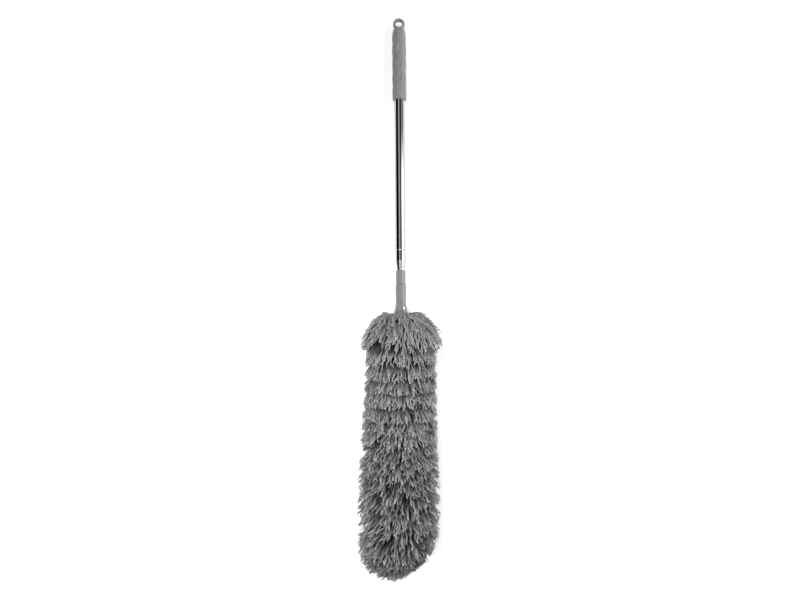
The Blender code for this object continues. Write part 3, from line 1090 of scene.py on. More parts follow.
@dataclass
class HeadFitting(SubAssembly):
    """The neck, the flare, and the backing that the strands are sewn to."""

    neck_radius: float = 0.008
    socket_radius: float = 0.00535
    edge: float = 0.0005
    stud_length: float = 0.0045
    stud_radius: float = 0.00525
    flare_straight: float = 0.0015
    flare_sweep: float = 1.6
    flare_edge: float = 0.0014
    flare_socket: float = 0.0056
    flare_socket_length: float = 0.0158
    flare_steps: int = 14
    cuff_gathers: int = 32
    cuff_gather_sides: int = 4
    cuff_gather_depth: float = 0.95
    cuff_wall: float = 0.0019
    cuff_roll: float = 1 / 2.2
    backing_radius: float = 0.0101
    backing_length: float = 0.3552
    backing_wall: float = 0.002

    def build(self) -> None:
        """Model and dress the neck, flare, cuff and backing, and dress the core inside."""
        self.lay_down(self.neck(), Slot.GREY_PLASTIC, "neck_socket")
        self.lay_down(self.flare(), Slot.GREY_PLASTIC, "head_flare")
        self.lay_down(self.cuff(), Slot.CUFF_FABRIC, "sleeve_cuff")
        self.lay_down(self.backing(), Slot.CUFF_FABRIC)
        self.keep_node("core_rod", Slot.CORE_PLASTIC)
        self.keep_node("core_cap", Slot.CORE_PLASTIC)

    def neck(self) -> Piece:
        """Turn the socket that slides on the spigot.

        Returns:
            The upright neck.
        """
        packed = self.axis.extent("neck_socket")
        corners = [
            Corner(packed.start, self.neck_radius, self.edge),
            Corner(packed.end, self.neck_radius, self.edge / 4),
            Corner(packed.end, self.socket_radius),
            Corner(packed.start, self.socket_radius, self.edge / 2),
        ]
        return turned("neck_socket_sleeve", rounded(corners, closed=True), closed=True)

    def flare(self) -> Piece:
        """Turn the bell, from the stud in the neck to the socket for the core.

        Returns:
            The upright flare.
        """
        packed = self.axis.extent("head_flare")
        back = packed.start + self.stud_length
        run = packed.end - back - self.flare_straight - self.flare_edge
        rise = packed.radius - self.neck_radius
        stud = [
            Corner(packed.start, self.stud_radius),
            Corner(back, self.stud_radius),
            Corner(back, self.neck_radius, self.edge / 4),
            Corner(back + self.flare_straight, self.neck_radius),
        ]
        outline = rounded(stud, closed=False)
        for step in range(1, self.flare_steps + 1):
            share = step / self.flare_steps
            depth = back + self.flare_straight + run * share
            outline.append((depth, self.neck_radius + rise * share**self.flare_sweep))
        rim = [
            Corner(*outline[-1]),
            Corner(packed.end, packed.radius, self.flare_edge / 2),
            Corner(packed.end, self.flare_socket),
            Corner(packed.end - self.flare_socket_length, self.flare_socket),
        ]
        return turned("head_flare_bell", outline + rounded(rim, closed=False)[1:], closed=False)

    def cuff(self) -> Piece:
        """Model the gathered hem that is drawn in round the core.

        Returns:
            The upright cuff.
        """
        packed = self.axis.extent("sleeve_cuff")
        inner = packed.radius - self.cuff_wall
        roll = self.cuff_wall * self.cuff_roll
        corners = [
            Corner(packed.start, packed.radius, roll),
            Corner(packed.end, packed.radius, roll),
            Corner(packed.end, inner, roll / 2),
            Corner(packed.start, inner, roll / 2),
        ]
        sides = self.cuff_gather_sides * self.cuff_gathers
        cuff = turned("gathered_cuff", rounded(corners, closed=True), closed=True, sides=sides)

        def in_gather(place: Vector) -> bool:
            """Whether a point is at the bottom of a gather."""
            turn = round(math.atan2(place.y, place.x) * sides / math.tau)
            return turn % self.cuff_gather_sides == 0 and place.xy.length > inner + roll

        select_vertices(cuff, in_gather)
        drawn = self.cuff_gather_depth
        with editing(cuff):
            bpy.ops.transform.resize(value=(drawn, drawn, 1), center_override=(0, 0, 0))
        return cuff

    def backing(self) -> Piece:
        """Turn the cloth sleeve under the strands, sewn shut past the core's end.

        Returns:
            The upright sleeve.
        """
        start = self.axis.extent("sleeve_cuff").end + self.edge
        end = start + self.backing_length + 2 * self.backing_wall
        inner = self.backing_radius - self.backing_wall
        middle = self.backing_radius / 4
        corners = [
            Corner(start, inner),
            Corner(start, self.backing_radius, self.backing_wall / 2),
            Corner(end, self.backing_radius, self.backing_radius / 3),
            Corner(end, middle),
        ]
        inside = [(end - self.backing_wall, middle), (end - self.backing_wall, inner)]
        return turned("backing_sleeve", rounded(corners, closed=False) + inside, closed=True)


# The head's strands


@dataclass(frozen=True)
class Growth:
    """Some strands, before they are bent into shape. Each array has a row for each strand.

    Attributes:
        roots: Depth and radius of the roots.
        controls: Depth and radius of the three points that each is drawn towards in turn.
        cut_at: The share of that way at which each is cut off.
        azimuths: Their directions round the axis.
        lean: How far each leans round the axis at its end, in radians.
        tones: Their lightness: random tone, with painted shade down the rows and painted light on lifted
            ones.
        bare: How far each is bare of others, and so spared the painted shade right down to its root.
        shaded: The depth at which the painted shade under the row above ends on them.
        in_ledges: How strongly that painted shade darkens them.
    """

    roots: Array
    controls: Array
    cut_at: Array
    azimuths: Array
    lean: Array
    tones: Array
    bare: Array
    shaded: Array
    in_ledges: Array


@dataclass(frozen=True)
class Spread:
    """How much neat strands vary in something, and what loose and lifted ones add to that."""

    neat: float
    loose: float = 0.0
    lifted: float = 0.0

    def at(self, loose: float, lift: float = 0.0) -> float:
        """How much strands vary that are this loose and this far lifted."""
        return self.neat + self.loose * loose + self.lifted * lift


@dataclass
class Pile(SubAssembly):
    """Wavy lengths of yarn, sewn to the backing in rows of tufts that overlap like shingles.

    Curves along the pile go by the depth below its start. A way is the depth and radius of the
    three points that a strand is drawn towards from its root. On the closed end, its radius is a
    multiple of the backing's.
    """

    # The whole pile
    cuff_gap: float = 0.0003
    skirts: int = 16
    pitch: float = 0.0222
    reach: float = 0.0475
    radius: float = 0.0580
    backing_radius: float = 0.0101
    trimmed_beyond: float = 0.0592
    trim_depth_spread: float = 0.003
    shoulder: Points = (
        (-0.02, 0.022), (-0.0075, 0.027), (0.0015, 0.041), (0.009, 0.048), (0.0165, 0.0525),
        (0.0285, 0.0565), (0.036, 0.062), (0.05, 0.080),
    )
    end_round: float = 0.050
    end_bluntness: float = 0.7
    end_slant: float = 0.0075
    end_rise: float = 0.004
    top_sag: float = 0.16
    left_swell: Points = (
        (0.0, -0.03), (0.02, 0.01), (0.045, 0.02), (0.054, -0.11), (0.12, -0.07), (0.18, -0.01),
        (0.25, 0.06), (0.31, 0.03), (0.36, -0.03),
    )
    right_swell: Points = (
        (0.0, 0.0), (0.015, 0.06), (0.042, 0.06), (0.051, -0.08), (0.12, -0.07),
        (0.17, -0.05), (0.22, 0.01), (0.26, 0.055), (0.32, 0.055), (0.36, -0.05),
    )
    drift: Points = ((0.02, 0.0), (0.08, -0.0012), (0.2, -0.0032), (0.3, -0.006), (0.38, -0.011))
    seed: int = 11
    skirt_seed: int = 111
    tip_wave_seed: int = 211
    tip_seed: int = 311

    # Rows of tufts
    rows: int = 18
    row_tufts: int = 58
    tuft_strands: int = 9
    row_reaches: tuple[float, ...] = (1.02, 0.985, 0.96, 0.985, 1.02, 0.96, 0.985, 1.015, 0.95)
    upper_way: Points = ((0.005, 0.031), (0.020, 0.0470), (0.040, 0.0585))
    lower_way: Points = ((0.004, 0.027), (0.014, 0.0430), (0.031, 0.0585))
    first_way: Points = ((-0.016, 0.024), (0.003, 0.0445), (0.041, 0.0645))
    crown_way: Points = ((-0.021, 0.024), (-0.005, 0.042), (0.020, 0.0660))
    first_lifts: tuple[float, ...] = (1.0, 0.5, 0.12)
    first_bare: tuple[float, ...] = (1.0, 0.6, 0.0)
    front_arch: float = 0.88
    crown_share: float = 0.012
    crown_trim: float = 0.45
    loose_from: float = 0.3
    loose_to: float = 0.6

    # How the strands of a row differ
    tuft_shift: float = 0.4
    tuft_spread: float = 0.085
    tuft_loose_spread: float = 0.6
    tuft_depth: float = 0.00315
    tuft_root_depth: float = 0.001
    tuft_follows: tuple[float, ...] = (0.4, 0.8, 1.0)
    tuft_wander: Spread = Spread(0.0015, 0.0080)
    tuft_reach: Spread = Spread(0.045, 0.010)
    tuft_drop: Spread = Spread(0.0014, 0.0012)
    tuft_lean: Spread = Spread(0.05, 0.04)
    tuft_tone: float = 0.04
    cut: float = 0.06
    outer_cut: float = 0.05
    early: Spread = Spread(0.25, 0.25, 0.2)
    early_cut: Spread = Spread(0.24, 0.1, 0.1)
    strand_reach: float = 0.018
    end_depth: Spread = Spread(0.0012, lifted=0.008)
    middle_depth: Spread = Spread(0.0012, 0.0015)
    middle_radius: Spread = Spread(0.0, 0.0025)
    strand_lean: Spread = Spread(0.07, 0.04, 0.08)
    strand_tone: float = 0.20
    first_tone: float = 1.01
    # Each row is painted darker than the last towards the tip as painted shade, and lifted rows lighter
    # as painted light.
    painted_shade_by_row: float = 0.12
    lifted_painted_light: float = 0.2
    ledge_lost: float = 0.75

    # Strands on the closed end
    tip_strands: int = 330
    tip_after: float = 0.001
    tip_way: Points = ((0.009, 1.7), (0.020, 3.2), (0.033, 4.2))
    tip_root_share: float = 0.8
    tip_middle: float = 0.01
    tip_cut: float = 0.25
    tip_cut_curve: Point = (1.0, 2.0)
    tip_lean: float = 0.12
    tip_tone: Point = (0.78, 0.12)
    tip_bare: float = 0.3

    # The yarn
    curve_steps: int = 30
    yarn_radius: float = 0.00078
    yarn_sides: int = 5
    yarn_rings: tuple[float, ...] = (0.0, 0.25, 0.44, 0.57, 0.68, 0.78, 0.87, 0.94, 0.985, 1.0)
    yarn_profile: Points = ((0, 0.95), (0.94, 1.0), (0.985, 0.95), (1.0, 0.6))
    strand_sizes: Point = (0.85, 1.12)
    ring_sizes: Point = (0.88, 1.1)
    wave_sizes: Point = (0.0006, 0.0019)
    wave_counts: Point = (2.0, 5.5)
    second_wave: float = 0.5
    second_wave_count: float = 1.9
    lean_curve: float = 1.5
    grown_in: float = 1.6

    # Its tones: painted shade and painted highlight, and random patches
    # Painted shade: strands are painted darker the nearer they run to the backing, by share of the
    # pile's radius.
    fade: Points = ((0.3, 0.07), (0.6, 0.17), (0.78, 0.46), (0.9, 0.94), (1.0, 1.24))
    # Painted shade under the ledge that the row above ends in, by depth past that end.
    ledge_shade: Points = ((-0.005, 0.45), (0.001, 0.55), (0.006, 1.0))
    # Near the closed end the painted shade is taken back, most towards each strand's tip.
    end_on_from: float = 0.035
    end_on_run: float = 0.03
    end_on_tone: float = 0.9
    # Painted highlight: strands are painted lighter over the last few percent of their length.
    painted_tip_highlight: Points = ((0, 1.0), (0.92, 1.0), (0.97, 1.05), (1.0, 1.08))
    patches: float = 0.15
    tone_limits: Point = (0.06, 1.5)

    def __post_init__(self) -> None:
        """Find the depths at which the pile starts and ends."""
        self.start = self.axis.extent("sleeve_cuff").end + self.cuff_gap
        self.end = self.start + (self.skirts - 1) * self.pitch + self.reach

    def build(self) -> None:
        """Grow all strands, and dress them skirt by skirt and on the closed end."""
        rows = [self.row_growth(row) for row in range(-1, self.rows)]
        names = [part.name for part in fields(Growth)]
        grown = {name: np.concatenate([getattr(row, name) for row in rows]) for name in names}
        skirt_of = ((grown["roots"][:, 0] - self.start) / self.pitch).astype(int)
        skirt_of = np.clip(skirt_of, 0, self.skirts - 1)
        for skirt in range(self.skirts):
            growth = Growth(**{name: values[skirt_of == skirt] for name, values in grown.items()})
            number = f"{skirt + 1:02d}"
            self.grow(f"yarn_skirt_{number}", f"pile_tier_{number}", growth, self.skirt_seed + skirt)
        self.grow("yarn_tip", "pile_tip", self.tip_growth(), self.tip_wave_seed)

    def end_limit(self, depth: Array, azimuth: Array) -> Array:
        """Find the radius of the pile at its shoulder and where it rounds off, aslant, at its tip.

        Args:
            depth: Depths.
            azimuth: Directions round the axis.

        Returns:
            The radii.
        """
        shoulder = read_curve(depth - self.start, self.shoulder)
        depth = depth + self.end_slant * np.cos(azimuth) - self.end_rise * np.sin(azimuth)
        past = np.clip((depth - self.end + self.end_round) / self.end_round, 0, 1)
        return np.minimum(shoulder, self.trimmed_beyond * (1 - past**2) ** self.end_bluntness)

    def settled(self, depth: Array, azimuth: Array) -> Array:
        """Find the share of the radius that is left where the pile swells, sags and lies down.

        Args:
            depth: Depths.
            azimuth: Directions round the axis.

        Returns:
            The shares.
        """
        up = -np.sin(azimuth)
        share = np.where(up > 0, 1 - self.top_sag * up**2, 1.0)
        for side, swell in ((-1, self.left_swell), (1, self.right_swell)):
            faces_it = np.clip(side * np.cos(azimuth), 0, None) ** 2
            share = share + faces_it * read_curve(depth - self.start, swell)
        level = math.sqrt(1 - self.axis.down.z**2)
        to_floor = self.axis.height(depth) / (np.clip(-up, NEARLY_NONE, None) * level)
        return np.minimum(share, to_floor / self.radius)

    def row_growth(self, row: int) -> Growth:
        """Choose the strands of one row, tuft by tuft. Towards the tip they stand more loosely.

        Args:
            row: Which row, from the flare on. Row -1 is the short crown on top of the first.

        Returns:
            The row's strands.
        """
        picks = np.random.default_rng(self.seed + 1 + row)
        crown = row < 0
        lift = self.first_lifts[max(row, 0)] if row < len(self.first_lifts) else 0.0
        share = self.crown_share if crown else (row + 0.5) / self.rows
        loose = min(max((share - self.loose_from) / (self.loose_to - self.loose_from), 0), 1)
        tufts = self.row_tufts
        count = tufts * self.tuft_strands
        tuft = np.repeat(np.arange(tufts), self.tuft_strands)
        shift = picks.uniform(-self.tuft_shift, self.tuft_shift, tufts)
        tuft_azimuth = (np.arange(tufts) + shift) * (math.tau / tufts)
        row_root = self.start + share * self.skirts * self.pitch
        wander = self.tuft_wander.at(loose)
        tuft_root = row_root + picks.uniform(-wander, wander, tufts)
        row_reach = self.row_reaches[row % len(self.row_reaches)]
        tuft_out = row_reach * picks.normal(1.0, self.tuft_reach.at(loose), tufts)
        tuft_drop = picks.normal(0, self.tuft_drop.at(loose), tufts)
        tuft_tone = picks.normal(1.0, self.tuft_tone, tufts)
        tuft_lean = picks.normal(0, self.tuft_lean.at(loose), tufts)
        place = np.sqrt(picks.uniform(0, 1, count))
        around = picks.uniform(0, math.tau, count)
        sideways, under = place * np.cos(around), place * np.sin(around)
        shorter = self.cut * picks.uniform(0, 1, count) + self.outer_cut * loose * place**2
        early = picks.uniform(0, 1, count) < self.early.at(loose, lift)
        shorter += early * picks.uniform(self.cut, self.early_cut.at(loose, lift), count)
        shorter += crown * picks.uniform(0.0, self.crown_trim, count)
        outward = tuft_out[tuft] + picks.normal(0, self.strand_reach, count)
        spread = self.tuft_spread * (1 + self.tuft_loose_spread * loose)
        azimuths = tuft_azimuth[tuft] + spread * sideways
        arch = lift * (self.front_arch + (1 - self.front_arch) * np.abs(np.cos(azimuths)))
        way = np.array(self.upper_way) * (1 - loose) + np.array(self.lower_way) * loose
        first = np.array(self.crown_way if crown else self.first_way)
        way = way + (first - way) * arch[:, None, None]
        controls = np.empty((count, 3, 2))
        for step, follows in enumerate(self.tuft_follows):
            moved = self.tuft_depth * under * follows
            controls[:, step, 0] = tuft_root[tuft] + way[:, step, 0] + moved + tuft_drop[tuft] * follows
            controls[:, step, 1] = way[:, step, 1] * outward - moved
        controls[:, 2, 0] += picks.normal(0, self.end_depth.at(loose, lift), count)
        controls[:, 1, 0] += picks.normal(0, self.middle_depth.at(loose), count)
        controls[:, 1, 1] += picks.normal(0, self.middle_radius.at(loose), count)
        root_depth = tuft_root[tuft] + self.tuft_root_depth * under
        roots = np.stack([root_depth, np.full(count, self.backing_radius)], -1)
        # Painted shade, darker row by row towards the tip, and painted light on the lifted rows.
        row_light_and_shade = (self.first_tone - self.painted_shade_by_row * share) * (1 + self.lifted_painted_light * lift**2)
        # Where the row above ends; its ledge is painted as shade on this row.
        ledge = row_root - self.skirts * self.pitch / self.rows + way[0, 2, 0]
        return Growth(
            roots=roots,
            controls=controls,
            cut_at=self.kept_inside(roots, controls, azimuths, 1 - shorter, picks),
            azimuths=azimuths,
            lean=tuft_lean[tuft] + picks.normal(0, self.strand_lean.at(loose, lift), count),
            tones=tuft_tone[tuft] * picks.normal(1.0, self.strand_tone, count) * row_light_and_shade,
            bare=np.full(count, self.first_bare[row + 1] if row < 2 else 0.0),
            shaded=np.full(count, ledge if row > 0 else 0.0),
            in_ledges=np.full(count, 1 - self.ledge_lost * loose),
        )

    def tip_growth(self) -> Growth:
        """Choose the strands on the closed end, which point on past it and fan out.

        Returns:
            The strands.
        """
        picks = np.random.default_rng(self.tip_seed)
        count = self.tip_strands
        top = self.start + self.skirts * self.pitch + self.tip_after
        out = np.sqrt(picks.uniform(self.tip_middle, 1, count))
        controls = np.empty((count, 3, 2))
        for step, (depth, radius) in enumerate(self.tip_way):
            controls[:, step, 0] = top + depth
            controls[:, step, 1] = self.backing_radius * radius * out
        roots = np.stack([np.full(count, top), self.backing_radius * self.tip_root_share * out], -1)
        azimuths = picks.uniform(0, math.tau, count)
        cut_at = 1 - self.tip_cut * picks.beta(*self.tip_cut_curve, count)
        return Growth(
            roots=roots,
            controls=controls,
            cut_at=self.kept_inside(roots, controls, azimuths, cut_at, picks),
            azimuths=azimuths,
            lean=picks.normal(0, self.tip_lean, count),
            tones=picks.normal(*self.tip_tone, count),
            bare=np.full(count, self.tip_bare),
            shaded=np.zeros(count),
            in_ledges=np.zeros(count),
        )

    def kept_inside(
        self,
        roots: Array,
        controls: Array,
        azimuths: Array,
        cut_at: Array,
        picks: np.random.Generator,
    ) -> Array:
        """Trim strands that would stick out of the pile's outline, raggedly.

        Args:
            roots: Where the strands start.
            controls: The points that they are drawn towards.
            azimuths: Their directions round the axis.
            cut_at: Where they end otherwise, as shares of their way.
            picks: Random numbers.

        Returns:
            Where they end now.
        """
        count = len(roots)
        done = np.linspace(0, 1, self.curve_steps)[None, :]
        curve = drawn_curve(roots, controls, np.repeat(done, count, axis=0))
        depth = curve[..., 0] + picks.normal(0, self.trim_depth_spread, (count, 1))
        outside = curve[..., 1] > self.end_limit(depth, azimuths[:, None])
        outside[:, : self.curve_steps // 4] = False
        first = np.where(outside.any(axis=1), outside.argmax(axis=1) / self.curve_steps, 1.0)
        return np.minimum(cut_at, first)

    def grow(self, name: str, node: str, growth: Growth, seed: int) -> None:
        """Bend strands along their curves, make them wavy, and mesh and dress them as one piece.

        Args:
            name: The piece's name.
            node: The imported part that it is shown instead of.
            growth: The strands.
            seed: Seed of the waves.
        """
        picks = np.random.default_rng(seed)
        rings = np.array(self.yarn_rings)
        count = len(growth.azimuths)
        along = rings[None, :]
        curve = drawn_curve(growth.roots, growth.controls, along * growth.cut_at[:, None])
        depth, radius = curve[..., 0], curve[..., 1]
        size = picks.uniform(*self.wave_sizes, (count, 1)) * np.clip(along * self.grown_in, 0, 1)
        phase = picks.uniform(0, math.tau, (count, 3, 1))
        waves = picks.uniform(*self.wave_counts, (count, 2, 1))
        side_turn = along * math.tau * waves[:, 0]
        sideways = np.sin(side_turn + phase[:, 0])
        sideways += self.second_wave * np.sin(side_turn * self.second_wave_count + phase[:, 1])
        outwards = np.sin(along * math.tau * waves[:, 1] + phase[:, 2])
        azimuth = growth.azimuths[:, None] + growth.lean[:, None] * along**self.lean_curve
        azimuth = azimuth + size * sideways / np.maximum(radius, self.backing_radius)
        radius = np.minimum(radius + size * outwards, self.trimmed_beyond)
        out = np.clip((radius - self.backing_radius) / (self.radius - self.backing_radius), 0, None)
        settling = (self.settled(depth, azimuth) - 1) * np.clip(out * self.grown_in, 0, 1)
        drawn = radius * (1 + settling)
        local = np.stack([drawn * np.cos(azimuth), drawn * np.sin(azimuth), -depth], axis=-1)
        local[..., 0] += read_curve(depth - self.start, self.drift) * np.clip(out, 0, 1)
        across = np.stack([-np.sin(azimuth), np.cos(azimuth), np.zeros_like(azimuth)], axis=-1)
        matrix = np.array(self.axis.matrix)
        turn = matrix[:3, :3].T
        centres = local @ turn + matrix[:3, 3]
        thickness = read_curve(rings, self.yarn_profile)
        thickness = thickness * picks.uniform(*self.strand_sizes, (count, 1)) * self.yarn_radius
        thickness = thickness * picks.uniform(*self.ring_sizes, (count, len(rings)))
        centres[..., 2] = np.maximum(centres[..., 2], thickness)
        # Painted shade, darker nearer the backing, and spared on strands that are bare of others.
        fade = read_curve(radius / self.radius, self.fade)
        fade = fade + (1.0 - fade) * growth.bare[:, None]
        # Painted shade under the ledge of the row above, weaker on loose rows.
        shade = 1 - read_curve(depth - growth.shaded[:, None], self.ledge_shade)
        fade = fade * (1 - shade * growth.in_ledges[:, None])
        # Near the closed end the painted shade is taken back towards each strand's tip.
        end_on = np.clip((depth - self.end + self.end_on_from) / self.end_on_run, 0, 1)
        fade = fade + (1 - fade) * end_on * self.end_on_tone * along
        patches = picks.normal(1.0, self.patches, (count, len(rings)))
        # Random tone, times painted shade, painted tip highlight and random patches.
        tones = growth.tones[:, None] * fade * read_curve(rings, self.painted_tip_highlight) * patches
        tones = np.clip(tones, *self.tone_limits)
        mesh = yarn_mesh(name, centres, across @ turn, thickness, tones, self.yarn_sides)
        piece = bpy.data.objects.new(name, mesh)
        bpy.context.scene.collection.objects.link(piece)
        self.dress(piece, Slot.MICROFIBRE, node)


def drawn_curve(roots: Array, controls: Array, done: Array) -> Array:
    """Find points of strands that are drawn from their roots towards three points in turn.

    Args:
        roots: Depth and radius of each root.
        controls: The three points of each strand.
        done: Shares of the way at which points are wanted, strand by strand.

    Returns:
        Depth and radius, by strand and share.
    """
    weights = [(1 - done) ** 3, 3 * done * (1 - done) ** 2, 3 * done**2 * (1 - done), done**3]
    parts = [roots, *(controls[:, step] for step in range(3))]
    return sum(weight[..., None] * part[:, None, :] for weight, part in zip(weights, parts))


def yarn_mesh(
    name: str,
    centres: Array,
    across: Array,
    thickness: Array,
    tones: Array,
    sides: int,
) -> bpy.types.Mesh:
    """Mesh many strands as closed tubes round their centre lines.

    Args:
        name: The mesh's name.
        centres: Centre points, as strand, ring and coordinate.
        across: Directions across each strand at each ring.
        thickness: Radius at each ring.
        tones: Lightness at each ring: random tone, with painted shade and painted highlight.
        sides: How many sides a strand has.

    Returns:
        The mesh, with the maps "yarn" and "OFBake" and an attribute of each point's tone, with its
        painted shade and painted highlight.
    """
    count, rings, _ = centres.shape
    along = np.gradient(centres, axis=1)
    along /= np.linalg.norm(along, axis=-1, keepdims=True)
    side = across - (across * along).sum(-1, keepdims=True) * along
    side /= np.linalg.norm(side, axis=-1, keepdims=True)
    lift = np.cross(along, side)
    turn = (math.tau * np.arange(sides) / sides)[None, None, :, None]
    ring = np.cos(turn) * side[:, :, None, :] + np.sin(turn) * lift[:, :, None, :]
    points = centres[:, :, None, :] + thickness[:, :, None, None] * ring
    index = np.arange(count * rings * sides).reshape(count, rings, sides)
    after = np.roll(index, -1, axis=2)
    quads = np.stack([index[:, :-1], after[:, :-1], after[:, 1:], index[:, 1:]], axis=-1)
    caps = np.concatenate([index[:, 0, ::-1], index[:, -1]])
    quads, caps = quads.reshape(-1, 4), caps.reshape(-1, sides)
    loops = np.concatenate([quads.ravel(), caps.ravel()])
    totals = np.concatenate([np.full(len(quads), 4), np.full(len(caps), sides)])
    starts = np.concatenate([[0], np.cumsum(totals)[:-1]])
    mesh = bpy.data.meshes.new(name)
    mesh.vertices.add(points.size // 3)
    mesh.vertices.foreach_set("co", points.astype(np.float32).ravel())
    mesh.loops.add(len(loops))
    mesh.loops.foreach_set("vertex_index", loops.astype(np.int32))
    mesh.polygons.add(len(totals))
    mesh.polygons.foreach_set("loop_start", starts.astype(np.int32))
    mesh.polygons.foreach_set("loop_total", totals.astype(np.int32))
    mesh.polygons.foreach_set("use_smooth", np.ones(len(totals), bool))
    mesh.update(calc_edges=True)
    # Each point's tone, with the painted shade and painted highlight worked out for its strand.
    tone = mesh.attributes.new("tone", "FLOAT", "POINT")
    tone.data.foreach_set("value", np.repeat(tones.ravel(), sides).astype(np.float32))
    steps = np.linalg.norm(np.diff(centres, axis=1), axis=-1)
    run = np.concatenate([np.zeros((count, 1)), np.cumsum(steps, axis=1)], axis=1)
    shape = (count, rings - 1, sides)
    around = np.broadcast_to(np.arange(sides) / sides, shape)
    near = np.broadcast_to(run[:, :-1, None], shape)
    far = np.broadcast_to(run[:, 1:, None], shape)
    step = 1 / sides
    corners = [(around, near), (around + step, near), (around + step, far), (around, far)]
    quad_map = np.stack([np.stack(pair, axis=-1) for pair in corners], axis=3)
    cap_turn = around[:, 0]
    root_map = np.stack([cap_turn[:, ::-1], np.zeros((count, sides))], axis=-1)
    tip_map = np.stack([cap_turn, np.broadcast_to(run[:, -1:], (count, sides))], axis=-1)
    yarn = np.concatenate([part.reshape(-1, 2) for part in (quad_map, root_map, tip_map)])
    mesh.uv_layers.new(name="yarn").uv.foreach_set("vector", yarn.astype(np.float32).ravel())
    corner_counts = ((rings - 1) * sides * 4, sides, sides)
    strand = np.concatenate([np.repeat(np.arange(count), corners) for corners in corner_counts])
    columns = math.ceil(math.sqrt(count))
    cell = np.stack([strand % columns, strand // columns], axis=-1)
    local = np.stack([yarn[:, 0], yarn[:, 1] / run[:, -1][strand]], axis=-1)
    bake = (cell + BAKE_INSET + (1 - 2 * BAKE_INSET) * local) / columns
    mesh.uv_layers.new(name="OFBake").uv.foreach_set("vector", bake.astype(np.float32).ravel())
    return mesh


# Studio


@dataclass(frozen=True)
class Lamp:
    """A square soft light. A mirrored one shows in glossy reflections alone, others in none."""

    name: str
    power: float
    size: float
    place: tuple[float, float, float]
    aim: tuple[float, float, float]
    spread: float = math.pi
    mirrored: bool = False


